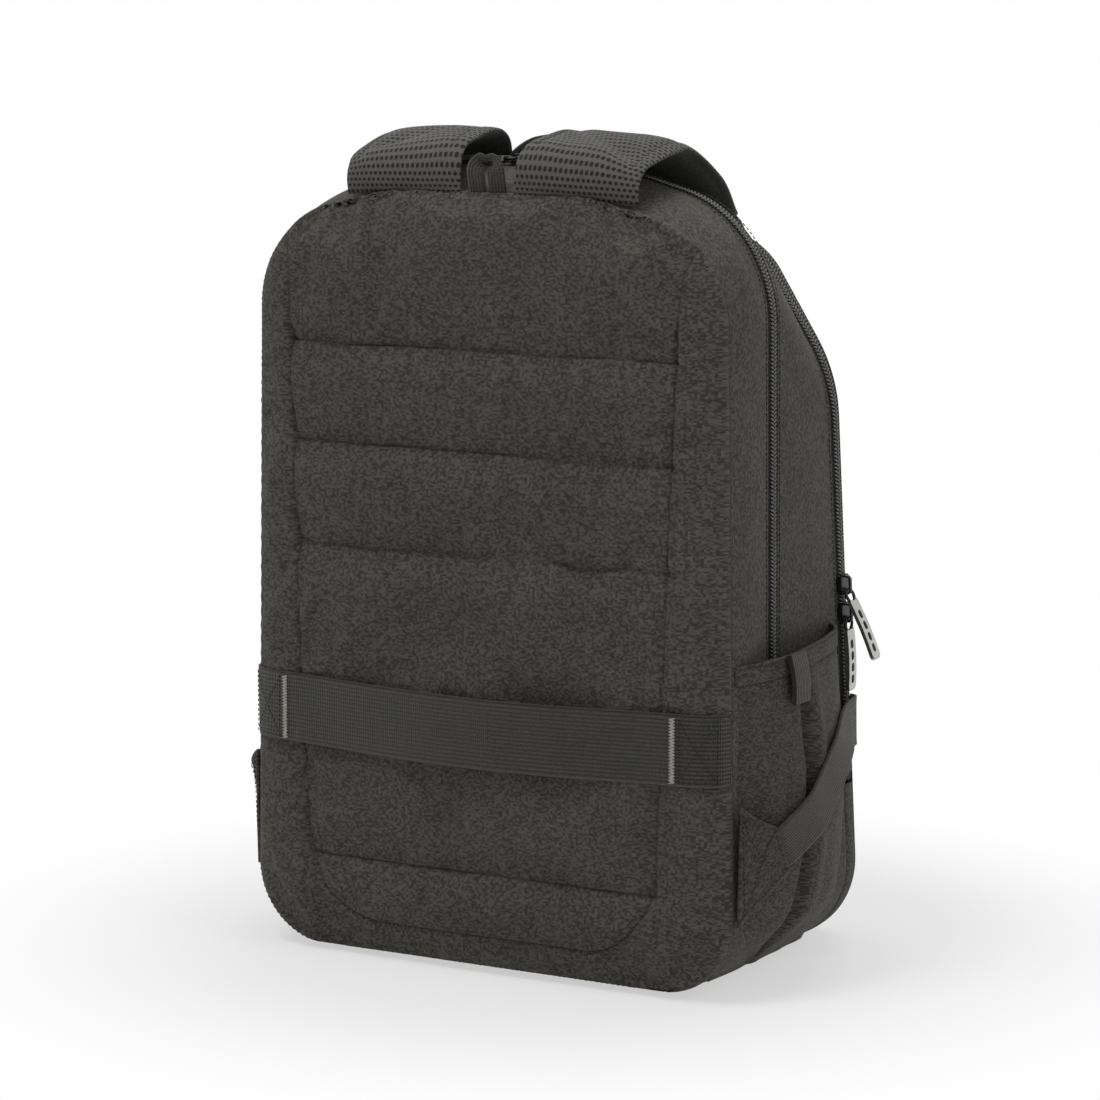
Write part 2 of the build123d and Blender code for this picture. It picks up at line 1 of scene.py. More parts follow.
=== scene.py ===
"""The school backpack's looks: cloth, padding, mesh, webbing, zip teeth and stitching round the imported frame.

Lengths are millimetres until a mesh is made. The row frame is the CAD's: +Z up, padded back towards -Y.
"""

import math

import bpy
import numpy as np
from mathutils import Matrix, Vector


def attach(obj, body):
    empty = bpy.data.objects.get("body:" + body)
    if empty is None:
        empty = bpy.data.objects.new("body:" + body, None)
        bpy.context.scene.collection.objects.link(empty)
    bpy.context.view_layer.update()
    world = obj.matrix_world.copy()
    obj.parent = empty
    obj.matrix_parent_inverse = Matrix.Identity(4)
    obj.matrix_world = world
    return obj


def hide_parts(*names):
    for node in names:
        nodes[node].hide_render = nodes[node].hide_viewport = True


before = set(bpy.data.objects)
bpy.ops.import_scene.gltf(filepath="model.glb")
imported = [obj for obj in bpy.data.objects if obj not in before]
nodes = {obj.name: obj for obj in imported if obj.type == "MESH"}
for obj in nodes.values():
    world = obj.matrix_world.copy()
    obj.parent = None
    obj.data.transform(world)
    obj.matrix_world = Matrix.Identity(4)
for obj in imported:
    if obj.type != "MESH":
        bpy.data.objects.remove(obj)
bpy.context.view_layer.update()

MM = 0.001
BAG = "bag"

# ---- sizes shared with the CAD ------------------------------------------------------------------------------------
WALL = 3.0
ZIP_EDGE = 6.0
TAPE_EDGE, TAPE_SUNK, TAPE_THICK = 5.7, 0.9, 1.0
SEAM_Y, LAPTOP_Y, MAIN_Y, POCKET_Y, FRONT_Y = -99.0, -51.0, 51.0, 69.0, 95.0
HALF, TOP = 156.0, 456.0
QUILT_LINES = (58.0, 240.0, 299.0, 356.0)
COLUMN_LOW, COLUMN_HIGH = 114.0, 125.0
BAND_LOW, BAND_HIGH, BAND_TACK = 124.0, 164.0, 127.0
BACK_RISE = 15.0
FRONT_LEAN = math.radians(6.8)


# ---- curves and outlines ------------------------------------------------------------------------------------------
def unit(v):
    v = np.asarray(v, float)
    return v / np.maximum(np.linalg.norm(v, axis=-1, keepdims=True), 1e-9)


def resample(points, count, closed=False):
    """Points spaced evenly along a polyline."""
    points = np.asarray(points, float)
    if closed:
        points = np.vstack([points, points[:1]])
    run = np.concatenate([[0], np.cumsum(np.linalg.norm(np.diff(points, axis=0), axis=1))])
    at = np.linspace(0, run[-1], count, endpoint=not closed)
    return np.stack([np.interp(at, run, points[:, k]) for k in range(points.shape[1])], -1)


def smooth_through(points, count):
    """A smooth curve (Catmull-Rom) through a few rows of numbers."""
    p = np.asarray(points, float)
    p = np.vstack([2 * p[0] - p[1], p, 2 * p[-1] - p[-2]])
    t = np.linspace(0, len(p) - 3 - 1e-6, count)
    i, f = t.astype(int), (t % 1)[:, None]
    a, b, c, d = p[i], p[i + 1], p[i + 2], p[i + 3]
    return 0.5 * (2 * b + (c - a) * f + (2 * a - 5 * b + 4 * c - d) * f**2 + (3 * b - a - 3 * c + d) * f**3)


def waves(u, v, size, seed, count=14):
    """Smooth noise of about unit height whose bumps are about size wide."""
    rng = np.random.default_rng(seed)
    total = np.zeros_like(np.asarray(u, float))
    for _ in range(count):
        turn, phase = rng.uniform(0, 2 * math.pi, 2)
        k = 2 * math.pi / (size * rng.uniform(0.7, 1.8))
        total = total + np.sin(k * (np.cos(turn) * u + np.sin(turn) * v) + phase)
    return total / math.sqrt(count)


class Arch:
    """An upright outline of the shell: the CAD's, with its feet, shoulders and crown rounded."""

    def __init__(self, y, lean, base, foot, shoulder, shoulder_z, crown, top, rounds):
        self.y, self.lean = y, math.radians(lean)
        self.base, self.foot, self.shoulder, self.shoulder_z = base, foot, shoulder, shoulder_z
        self.crown, self.top, self.rounds = crown, top, rounds
        self.rim = self.outline()

    def outline(self):
        right = [(self.foot, self.base), (self.shoulder, self.shoulder_z), (self.crown, self.top)]
        corners = np.array(right + [(-x, z) for x, z in reversed(right)])
        rounds = list(self.rounds) + list(reversed(self.rounds))
        line = [np.array([0.0, self.base])]
        for i, corner in enumerate(corners):
            before, after = unit(corners[i - 1] - corner), unit(corners[(i + 1) % 6] - corner)
            half = math.acos(float(np.clip(before @ after, -1, 1))) / 2
            centre = corner + unit(before + after) * rounds[i] / math.sin(half)
            start = corner + before * rounds[i] / math.tan(half) - centre
            end = corner + after * rounds[i] / math.tan(half) - centre
            for t in np.linspace(0, 1, 24):
                line.append(centre + unit(start * (1 - t) + end * t) * rounds[i])
        return resample(np.array(line), 2400, closed=True)

    def ring(self, count, shift=0.0, inset=0.0):
        """The outline in space, moved forwards by shift and inwards by inset."""
        flat = resample(self.rim, count, closed=True)
        along = unit(np.roll(flat, -1, 0) - np.roll(flat, 1, 0))
        flat = flat + np.stack([-along[:, 1], along[:, 0]], -1) * np.reshape(inset, (-1, 1))
        c, s = math.cos(self.lean), math.sin(self.lean)
        return np.stack([flat[:, 0], self.y + shift / c - flat[:, 1] * s, flat[:, 1] * c], -1)

    def half_width(self, z):
        right = self.rim[self.rim[:, 0] > 0]
        order = np.argsort(right[:, 1], kind="stable")
        levels, widths = right[order, 1], right[order, 0]
        found = np.interp(z, levels, widths)
        low, high = z <= self.base + 0.01, z >= self.top - 0.01
        flat_low = self.foot - self.rounds[0]
        flat_high = right[right[:, 1] > self.top - 0.02][:, 0].max()
        return np.where(low, flat_low, np.where(high, flat_high, found))


seam = Arch(SEAM_Y, 0, 3.0, HALF, HALF - 6.5, TOP - 33, 60, TOP - 12.5, (44, 60, 160))
laptop = Arch(LAPTOP_Y, 0, 0.0, HALF, HALF - 3.5, TOP - 25, 62, TOP, (46, 75, 120))
main = Arch(MAIN_Y, 5.7, 0.0, HALF + 1.5, HALF + 0.6, TOP - 115, 104, TOP - 31, (56, 90, 45))
pocket = Arch(POCKET_Y, 5.7, 1.5, HALF - 13, HALF - 8, TOP - 118, 101, TOP - 36, (58, 90, 45))
front = Arch(FRONT_Y, 6.8, 4.0, HALF - 18, HALF - 15, TOP - 124, 95, TOP - 45, (58, 84, 45))


# ---- meshes -------------------------------------------------------------------------------------------------------
def make_object(name, verts, faces, materials, smooth=True):
    mesh = bpy.data.meshes.new(name)
    mesh.from_pydata((np.asarray(verts, float) * MM).tolist(), [], [list(map(int, f)) for f in faces])
    mesh.validate()
    if smooth:
        mesh.polygons.foreach_set("use_smooth", [True] * len(mesh.polygons))
    for m in materials if isinstance(materials, (list, tuple)) else [materials]:
        mesh.materials.append(m)
    obj = bpy.data.objects.new(name, mesh)
    bpy.context.scene.collection.objects.link(obj)
    return obj


def grid(name, points, material, closed=False, thick=0.0, flip=False, uv=None, material_of=None):
    """A sheet from rows of points, with UVs in millimetres and, if thick, a second face that far below."""
    points = np.asarray(points, float)
    rows, cols = points.shape[:2]
    wrap = cols if closed else cols - 1
    r, c = np.meshgrid(np.arange(rows - 1), np.arange(wrap), indexing="ij")
    r, c = r.ravel(), c.ravel()
    nxt = (c + 1) % cols
    quads = np.stack([r * cols + c, r * cols + nxt, (r + 1) * cols + nxt, (r + 1) * cols + c], -1)
    corners = np.stack([np.stack([r, c], -1), np.stack([r, c + 1], -1), np.stack([r + 1, c + 1], -1),
                        np.stack([r + 1, c], -1)], 1)
    if not flip:
        quads, corners = quads[:, ::-1], corners[:, ::-1]
    obj = make_object(name, points.reshape(-1, 3), quads, material)
    if uv is None:
        ring = np.concatenate([points, points[:, :1]], 1) if closed else points
        u = np.concatenate([[0], np.cumsum(np.linalg.norm(np.diff(ring, axis=1), axis=2).mean(0))])
        v = np.concatenate([[0], np.cumsum(np.linalg.norm(np.diff(points, axis=0), axis=2).mean(1))])
        uv = np.stack(np.broadcast_arrays(u[None, :], v[:, None]), -1)
    layer = obj.data.uv_layers.new(name="cloth")
    flat = uv[corners[..., 0], corners[..., 1]].reshape(-1, 2)
    layer.data.foreach_set("uv", flat.astype(np.float32).ravel())
    if material_of is not None:
        obj.data.polygons.foreach_set("material_index", [int(material_of(i, j)) for i, j in zip(r, c)])
    if thick:
        shell = obj.modifiers.new("thickness", "SOLIDIFY")
        shell.thickness, shell.offset = thick * MM, -1
    return obj


def capsule(segments=6):
    """A short thread, 1 long along X and 1 wide, as (vertices, faces)."""
    profile = [(-0.42, 0.62), (-0.2, 1.0), (0.2, 1.0), (0.42, 0.62)]
    turn = np.arange(segments) * 2 * math.pi / segments
    verts = [(-0.5, 0, 0)] + [(x, 0.5 * r * math.cos(t), 0.5 * r * math.sin(t)) for x, r in profile for t in turn]
    verts.append((0.5, 0, 0))
    faces = [(0, 1 + (i + 1) % segments, 1 + i) for i in range(segments)]
    for k in range(len(profile) - 1):
        a, b = 1 + k * segments, 1 + (k + 1) * segments
        faces += [(a + i, a + (i + 1) % segments, b + (i + 1) % segments, b + i) for i in range(segments)]
    last, tip = 1 + (len(profile) - 1) * segments, len(verts) - 1
    faces += [(last + i, last + (i + 1) % segments, tip) for i in range(segments)]
    return np.array(verts), faces


def scatter(name, at, along, across, size, material):
    """Many small threads: one at each point, with its length along one direction; size is (long, wide, high)."""
    verts, faces = capsule()
    along = unit(along)
    up = unit(np.cross(along, across))
    side = np.cross(up, along)
    local = verts * np.array(size)
    placed = at[:, None] + local[None, :, :1] * along[:, None] + local[None, :, 1:2] * side[:, None] \
        + local[None, :, 2:] * up[:, None]
    every = [tuple(v + k * len(verts) for v in f) for k in range(len(at)) for f in faces]
    return make_object(name, placed.reshape(-1, 3), every, material)


def stitches(line, normals, pitch=3.1, size=(2.3, 0.75, 0.55)):
    """Where a row of stitches goes along a line: (points, directions, side directions)."""
    line, normals = np.asarray(line, float), np.asarray(normals, float)
    length = np.linalg.norm(np.diff(line, axis=0), axis=1).sum()
    count = max(2, int(length / pitch))
    both = resample(np.hstack([line, normals * 1e-6]), count)
    at, up = both[:, :3], unit(both[:, 3:])
    along = np.gradient(at, axis=0)
    return at, along, np.cross(up, unit(along))


def stitch_object(name, rows, material, size=(2.3, 0.75, 0.55)):
    at, along, side = (np.concatenate(part) for part in zip(*rows))
    return scatter(name, at, along, side, size, material)


def place(obj, replaced=(), body=BAG):
    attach(obj, body)
    if replaced:
        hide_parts(*replaced)
    return obj


# ---- materials ----------------------------------------------------------------------------------------------------
class Look:
    """A Principled material with short calls for its nodes."""

    def __init__(self, name, colour, rough, metal=0.0, sheen=0.0):
        self.made = bpy.data.materials.new(name)
        self.made.use_nodes = True
        self.tree = self.made.node_tree
        self.base = self.tree.nodes["Principled BSDF"]
        self.base.inputs["Base Color"].default_value = (*colour, 1)
        self.base.inputs["Roughness"].default_value = rough
        self.base.inputs["Metallic"].default_value = metal
        self.base.inputs["Sheen Weight"].default_value = sheen
        self.base.inputs["Sheen Roughness"].default_value = 0.45
        self.base.inputs["Specular IOR Level"].default_value = 0.18 if sheen else 0.5
        self.colour = colour

    def node(self, kind, **values):
        made = self.tree.nodes.new(kind)
        for key, value in values.items():
            if hasattr(made, key):
                setattr(made, key, value)
            else:
                made.inputs[key.replace("_", " ")].default_value = value
        return made

    def join(self, source, target):
        self.tree.links.new(source, target)

    def maths(self, operation, a, b=0.0, c=0.0):
        made = self.tree.nodes.new("ShaderNodeMath")
        made.operation = operation
        for socket, value in zip(made.inputs, (a, b, c)):
            if isinstance(value, (int, float)):
                socket.default_value = value
            else:
                self.join(value, socket)
        return made.outputs[0]

    def uv(self):
        split = self.node("ShaderNodeSeparateXYZ")
        self.join(self.node("ShaderNodeUVMap", uv_map="cloth").outputs[0], split.inputs[0])
        return split.outputs[0], split.outputs[1]

    def noise(self, scale, stretch=(1, 1, 1), detail=3.0, space="UV"):
        """Noise with scale bumps for each millimetre in cloth space, or each metre in object space."""
        mapping = self.node("ShaderNodeMapping")
        mapping.inputs["Scale"].default_value = stretch
        if space == "UV":
            self.join(self.node("ShaderNodeUVMap", uv_map="cloth").outputs[0], mapping.inputs[0])
        else:
            self.join(self.node("ShaderNodeTexCoord").outputs["Object"], mapping.inputs[0])
        made = self.node("ShaderNodeTexNoise", Scale=scale, Detail=detail)
        self.join(mapping.outputs[0], made.inputs["Vector"])
        return made.outputs["Fac"]

    def tint(self, factor, low, high):
        """The colour runs between low and high times its own value as factor goes from 0.3 to 0.7."""
        ramp = self.node("ShaderNodeMapRange")
        ramp.inputs["From Min"].default_value, ramp.inputs["From Max"].default_value = 0.3, 0.7
        ramp.inputs["To Min"].default_value, ramp.inputs["To Max"].default_value = low, high
        self.join(factor, ramp.inputs["Value"])
        return ramp.outputs[0]

    def paint(self, factor):
        mix = self.node("ShaderNodeVectorMath", operation="SCALE")
        mix.inputs[0].default_value = self.colour
        self.join(factor, mix.inputs["Scale"])
        self.join(mix.outputs[0], self.base.inputs["Base Color"])

    def bump(self, height, distance_mm, strength=1.0):
        made = self.node("ShaderNodeBump", Strength=strength, Distance=distance_mm * MM)
        self.join(height, made.inputs["Height"])
        self.join(made.outputs[0], self.base.inputs["Normal"])


def woven(name, colour, thread=1.35, relief=0.22, rough=0.72, sheen=0.05):
    """Plain woven polyester: crossing threads, each crossing a little lighter or darker, and slow changes of shade."""
    look = Look(name, colour, rough, sheen=sheen)
    u, v = look.uv()
    k = 2 * math.pi / thread
    warp = look.maths("SINE", look.maths("MULTIPLY", u, k))
    weft = look.maths("SINE", look.maths("MULTIPLY", v, k))
    weave = look.maths("MULTIPLY", warp, weft)
    crossing = look.node("ShaderNodeCombineXYZ")
    look.join(look.maths("FLOOR", look.maths("DIVIDE", u, thread)), crossing.inputs[0])
    look.join(look.maths("FLOOR", look.maths("DIVIDE", v, 0.7 * thread)), crossing.inputs[1])
    speck = look.node("ShaderNodeTexWhiteNoise", noise_dimensions="3D")
    look.join(crossing.outputs[0], speck.inputs["Vector"])
    yarn = look.maths("ADD", look.maths("MULTIPLY", speck.outputs["Value"], 0.62),
                      look.maths("MULTIPLY", look.noise(0.8, (0.8, 1.1, 1), 2.0), 0.38))
    slow = look.noise(0.012, (1, 1, 1), 2.0)
    height = look.maths("ADD", look.maths("MULTIPLY", weave, 0.45), look.maths("MULTIPLY", yarn, 0.8))
    look.bump(height, relief)
    shade = look.maths("MULTIPLY", look.tint(yarn, 0.55, 1.45), look.tint(slow, 0.92, 1.08))
    look.paint(look.maths("ADD", shade, look.maths("MULTIPLY", weave, 0.30)))
    return look.made


def ribbed(name, colour, rib=1.9, relief=0.35, rough=0.66, painted_rib_shade=0.9):
    """Webbing: ribs along its length, each made of slanting yarn, coloured with painted shade in the grooves and
    painted highlight on the crowns.
    """
    look = Look(name, colour, rough, sheen=0.2)
    u, v = look.uv()
    ribs = look.maths("ABSOLUTE", look.maths("SINE", look.maths("MULTIPLY", v, math.pi / rib)))
    yarn = look.maths("SINE", look.maths("ADD", look.maths("MULTIPLY", u, 2 * math.pi / 1.3),
                                         look.maths("MULTIPLY", ribs, 2.5)))
    fuzz = look.noise(0.8, (1, 1, 1), 3.0)
    height = look.maths("ADD", ribs, look.maths("MULTIPLY", yarn, 0.3))
    look.bump(look.maths("ADD", height, look.maths("MULTIPLY", fuzz, 0.4)), relief)
    # Painted shade and highlight: the colour darkens in the grooves between the ribs and lightens on their crowns.
    look.paint(look.maths("MULTIPLY", look.maths("MULTIPLY_ADD", ribs, painted_rib_shade, 1 - 0.66 * painted_rib_shade), look.tint(fuzz, 0.6, 1.4)))
    return look.made


def spacer_mesh(name, colour, pitch=(3.3, 3.0), rough=0.8):
    """Spacer mesh: staggered oval holes in a knitted face, each hole darkened with painted shade."""
    look = Look(name, colour, rough, sheen=0.2)
    u, v = look.uv()
    row = look.maths("DIVIDE", v, pitch[1])
    odd = look.maths("MULTIPLY", look.maths("FLOORED_MODULO", look.maths("FLOOR", row), 2.0), 0.5)
    col = look.maths("ADD", look.maths("DIVIDE", u, pitch[0]), odd)
    x = look.maths("SUBTRACT", look.maths("FRACT", col), 0.5)
    y = look.maths("SUBTRACT", look.maths("FRACT", row), 0.5)
    near = look.maths("SQRT", look.maths("ADD", look.maths("MULTIPLY", look.maths("MULTIPLY", x, x), 1.0),
                                         look.maths("MULTIPLY", look.maths("MULTIPLY", y, y), 1.5)))
    open_hole = look.node("ShaderNodeMapRange", interpolation_type="SMOOTHSTEP")
    open_hole.inputs["From Min"].default_value, open_hole.inputs["From Max"].default_value = 0.27, 0.42
    open_hole.inputs["To Min"].default_value, open_hole.inputs["To Max"].default_value = 0.0, 1.0
    look.join(near, open_hole.inputs["Value"])
    knit = look.noise(1.4, (1, 1, 1), 3.0)
    face = open_hole.outputs[0]
    # Painted shade: the holes are darkened to 0.15 of the knit's colour.
    look.paint(look.maths("MULTIPLY", look.maths("MULTIPLY_ADD", face, 0.85, 0.15), look.tint(knit, 0.8, 1.2)))
    look.bump(look.maths("ADD", face, look.maths("MULTIPLY", knit, 0.25)), 1.1)
    return look.made


def hard(name, colour, rough, metal=0.0, relief=0.02):
    """Painted or bare metal, or moulded plastic, with fine unevenness."""
    look = Look(name, colour, rough, metal)
    fine, broad = look.noise(900, (1, 1, 1), 3.0, "OBJECT"), look.noise(60, (1, 1, 1), 2.0, "OBJECT")
    look.paint(look.maths("MULTIPLY", look.tint(fine, 0.93, 1.07), look.tint(broad, 0.92, 1.08)))
    look.bump(fine, relief)
    return look.made


def thread(name, colour):
    look = Look(name, colour, 0.6, sheen=0.3)
    look.paint(look.tint(look.noise(700, (1, 1, 1), 3.0, "OBJECT"), 0.75, 1.2))
    return look.made


CLOTH = woven("polyester", (0.070, 0.067, 0.0575))
POCKET_CLOTH = woven("pocket_polyester", (0.062, 0.0595, 0.051), thread=1.2)
PIPING = woven("piping_cloth", (0.040, 0.038, 0.033), thread=1.0)
LINING = woven("lining_cloth", (0.085, 0.083, 0.08), thread=0.6, relief=0.08)
FOAM = thread("foam_sheet", (0.10, 0.10, 0.10))
WEBBING = ribbed("ribbed_webbing", (0.048, 0.0455, 0.038), relief=0.5)
# The band's ribs get the strongest painted shade in their grooves.
BAND = ribbed("band_webbing", (0.050, 0.0475, 0.039), rib=2.3, relief=0.8, painted_rib_shade=1.3)
MESH = spacer_mesh("strap_mesh", (0.112, 0.109, 0.096))
BINDING = ribbed("edge_binding", (0.035, 0.034, 0.031), rib=1.0, relief=0.15)
TAPE = ribbed("zip_tape", (0.020, 0.0195, 0.018), rib=0.9, relief=0.15)
# The coil's colour is raised well above its tape's: painted highlight for its shine, besides its low roughness.
COIL = hard("zip_coil", (0.085, 0.082, 0.074), 0.35)
DARK_THREAD = thread("dark_thread", (0.006, 0.006, 0.006))
PALE_THREAD = thread("pale_thread", (0.42, 0.41, 0.37))
BLACK_METAL = hard("black_metal", (0.022, 0.022, 0.022), 0.34, 0.6)
PALE_METAL = hard("satin_metal", (0.45, 0.45, 0.43), 0.32, 1.0)
PLASTIC = hard("black_plastic", (0.022, 0.022, 0.022), 0.42)
BOARD = hard("board_plastic", (0.12, 0.12, 0.12), 0.55)
HARD_LOOKS = (("_slider", BLACK_METAL), ("_ring", BLACK_METAL), ("_pull", PALE_METAL), ("ladder_lock", PLASTIC),
              ("_board", BOARD))


# ---- padded panels ------------------------------------------------------------------------------------------------
def panel_grid(arch, rows, cols, inset):
    """Flat points (x, z) that fill an outline, with each one's distance from the outline."""
    share = np.linspace(0, 1, rows)
    share = share - 0.11 * np.sin(2 * math.pi * share)
    z = arch.base + inset + (arch.top - arch.base - 2 * inset) * share
    width = arch.half_width(z) - inset
    across = np.linspace(-1, 1, cols)
    across = across * (1.12 - 0.12 * across**2)
    x = width[:, None] * across[None, :]
    z = np.repeat(z[:, None], cols, 1)
    rim = arch.rim[::6]
    flat = np.stack([x.ravel(), z.ravel()], -1)
    away = np.concatenate([np.sqrt(((part[:, None] - rim[None]) ** 2).sum(-1)).min(1)
                           for part in np.array_split(flat, 40)]).reshape(x.shape)
    away[0], away[-1], away[:, 0], away[:, -1] = inset, inset, inset, inset
    return x, z, away


def crease(distance, depth, reach):
    """How far cloth dips at a distance from a line of stitches: sharp at the line and soft beyond it."""
    return depth * np.exp(-np.abs(distance) / reach)


def column_at(z):
    share = (z - QUILT_LINES[0]) / (QUILT_LINES[-1] - QUILT_LINES[0])
    flare = np.clip((z - 385) / 40, 0, 1) ** 2 * 7
    return COLUMN_LOW + share * (COLUMN_HIGH - COLUMN_LOW) + flare


def foot_line(x):
    """Height of the curved row of stitches that closes the lowest channel."""
    return 22.0 + 36.0 * np.clip((np.abs(x) - 62.0) / (column_at(40.0) - 62.0), 0, 1) ** 2.6


def back_shape(x, z, away):
    """How far the padded back stands out behind its seam."""
    rise = BACK_RISE * (1 - (1 - np.clip(away / 40, 0, 1)) ** 2.3) ** 0.62
    inside = np.clip((column_at(z) + 3 - np.abs(x)) / 3, 0, 1)
    for i, line in enumerate(QUILT_LINES):
        wobble = 1.6 * waves(x, z * 0, 80, 40 + i)
        gap = z - line - wobble * 0.35
        pucker = 0.7 * waves(x * 1.0, z * 0.15, 15, 20 + i) * np.exp(-np.abs(gap) / 9)
        soft = np.where(gap > 0, crease(gap, 4.6, 13.0), crease(gap, 4.6, 7.0))
        rise = rise - inside * (soft + crease(gap, 1.8, 1.6) + pucker)
        rise = rise + inside * 1.6 * np.exp(-((gap + 17) / 10) ** 2)
    gap = np.abs(x) - column_at(z)
    tall = np.clip((z - 56) / 8, 0, 1) * np.clip((432 - z) / 20, 0, 1)
    rise = rise - tall * (crease(gap, 2.2, 7.0) + crease(gap, 1.6, 1.7))
    rise = rise - tall * 0.35 * waves(z, x * 0.1, 17, 61) * np.exp(-np.abs(gap) / 8)
    foot = z - foot_line(x)
    low = np.clip((column_at(z) - np.abs(x)) / 4, 0, 1) * np.clip((60 - z) / 5, 0, 1)
    rise = rise - low * (crease(foot, 2.6, 7.0) + crease(foot, 1.6, 1.7))
    under_straps = np.exp(-((TOP - 12 - z) / 26) ** 2) * np.clip(1 - np.abs(np.abs(x) - 55) / 60, 0, 1)
    rise = rise + under_straps * 1.5 * waves(x, z * 0.25, 19, 7) * np.clip(away / 8, 0, 1)
    return rise + 0.45 * waves(x, z, 70, 3) * np.clip(away / 25, 0, 1)


def inflate(obj, pinned, pressure, frames, slack):
    """Cloth simulation: the sheet swells between its pinned stitches and keeps the shape it has then."""
    group = obj.vertex_groups.new(name="stitched")
    for weight in np.unique(pinned[pinned > 0.01]):
        group.add([int(i) for i in np.flatnonzero(pinned == weight)], float(weight), "REPLACE")
    cloth = obj.modifiers.new("cloth", "CLOTH")
    settings = cloth.settings
    settings.quality, settings.mass, settings.vertex_group_mass = 6, 0.25, "stitched"
    settings.tension_stiffness = settings.compression_stiffness = 18
    settings.shear_stiffness, settings.bending_stiffness = 8, 0.9
    settings.use_pressure, settings.uniform_pressure_force = True, pressure
    settings.shrink_min = -slack
    settings.effector_weights.gravity = 0
    cloth.collision_settings.use_collision = False
    scene = bpy.context.scene
    scene.frame_start, scene.frame_end = 1, frames
    cloth.point_cache.frame_start, cloth.point_cache.frame_end = 1, frames
    for frame_number in range(1, frames + 1):
        scene.frame_set(frame_number)
    solved = obj.evaluated_get(bpy.context.evaluated_depsgraph_get()).to_mesh()
    after = np.zeros(len(solved.vertices) * 3)
    solved.vertices.foreach_get("co", after)
    obj.modifiers.remove(cloth)
    obj.vertex_groups.clear()
    scene.frame_set(1)
    return after.reshape(-1, 3) / MM


def move_points(obj, points):
    obj.data.vertices.foreach_set("co", (np.asarray(points, float) * MM).astype(np.float32).ravel())
    obj.data.update()


def back_panel():
    rows, cols = ((300, 176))
    x, z, away = panel_grid(seam, rows, cols, 0.3)
    rise = back_shape(x, z, away)
    rise[0], rise[-1], rise[:, 0], rise[:, -1] = 0.3, 0.3, 0.3, 0.3
    start = np.stack([x, SEAM_Y - np.maximum(rise, 0.3), z], -1)
    uv = np.stack([x, z], -1)
    obj = grid("back_panel", start, CLOTH, uv=uv)
    lines = [np.abs(z - line) < 1.7 for line in QUILT_LINES]
    quilted = np.logical_or.reduce(lines) & (np.abs(x) < column_at(z))
    upright = (np.abs(np.abs(x) - column_at(z)) < 1.6) & (z > 56) & (z < 425)
    closing = (np.abs(z - foot_line(x)) < 1.6) & (np.abs(x) < column_at(z)) & (z < 60)
    pinned = np.where(quilted | upright | closing, 1.0, 0.0)
    pinned[:2], pinned[-2:], pinned[:, :2], pinned[:, -2:] = 1, 1, 1, 1
    swollen = inflate(obj, pinned.ravel(), 1.2, 16, 0.022).reshape(start.shape)
    step = np.clip(swollen - start, -5.0, 5.0)
    step[..., 1] = np.clip(step[..., 1], -2.2, 3.0)
    start = start + step
    move_points(obj, start.reshape(-1, 3))
    shell = obj.modifiers.new("thickness", "SOLIDIFY")
    shell.thickness, shell.offset = 1.4 * MM, -1
    place(obj, ["back_cover", "back_padding"])
    return start


def on_panel(points, x, z):
    """Points of the finished back panel at places (x, z), a little proud of it."""
    levels = points[:, points.shape[1] // 2, 2]
    row = np.clip(np.searchsorted(levels, z), 1, len(levels) - 1)
    found = []
    for r, at_x, at_z in zip(row, x, z):
        a = np.interp(at_x, points[r - 1, :, 0], points[r - 1, :, 1])
        b = np.interp(at_x, points[r, :, 0], points[r, :, 1])
        share = (at_z - levels[r - 1]) / max(levels[r] - levels[r - 1], 1e-6)
        found.append((at_x, a + (b - a) * np.clip(share, 0, 1) - 0.18, at_z))
    return np.array(found)


def back_stitches(points):
    rows = []
    for line in QUILT_LINES:
        x = np.linspace(-column_at(line), column_at(line), 90)
        rows.append(on_panel(points, x, x * 0 + line))
    for side in (-1, 1):
        z = np.linspace(QUILT_LINES[0], 414, 120)
        rows.append(on_panel(points, side * column_at(z), z))
    x = np.linspace(-column_at(50.0), column_at(50.0), 110)
    rows.append(on_panel(points, x, foot_line(x)))
    made = [stitches(row, np.tile([0.0, -1.0, 0.0], (len(row), 1)), 3.6) for row in rows]
    place(stitch_object("back_stitches", made, DARK_THREAD, (2.6, 0.9, 0.8)))


# ---- shell --------------------------------------------------------------------------------------------------------
RING = 760


def sleeve(name, start, start_shift, end, end_shift, rows, bulge, seed, material=CLOTH, replaced=(), fold=1.6):
    """A gusset: cloth between two outlines, a little full between its seams and folded under at both edges."""
    a, b = start.ring(RING, start_shift), end.ring(RING, end_shift)
    along = unit(np.roll(a, -1, 0) - np.roll(a, 1, 0))
    out = unit(np.cross(np.array([0.0, 1.0, 0.0]), along))
    run = np.concatenate([[0], np.cumsum(np.linalg.norm(np.diff(a, axis=0), axis=1))])
    depth = np.linalg.norm(a - b, axis=1).mean()
    sheet_rows = [a - out * fold]
    for t in np.linspace(0, 1, rows):
        line = a * (1 - t) + b * t
        full = bulge * math.sin(math.pi * t) ** 1.2
        above_floor = np.clip(line[:, 2] / 25, 0, 1)
        soft = 0.45 * waves(run, run * 0 + t * depth, 90, seed)
        soft = soft + 0.16 * waves(run, run * 0 + t * depth, 30, seed + 1)
        line = line + out * ((full + soft * math.sin(math.pi * t) ** 0.5) * above_floor)[:, None]
        sheet_rows.append(line)
    sheet_rows.append(b - out * fold)
    obj = grid(name, np.array(sheet_rows), material, closed=True, thick=WALL - 1.2, flip=False)
    return place(obj, replaced or [name])


def seam_line(arch, shift, lift, low=-10.0):
    """A row of stitches round the shell, above height low."""
    line = arch.ring(RING, shift, -lift)
    along = unit(np.roll(line, -1, 0) - np.roll(line, 1, 0))
    up = unit(np.cross(np.array([0.0, 1.0, 0.0]), along))
    keep = line[:, 2] > low
    return stitches(line[keep], up[keep])


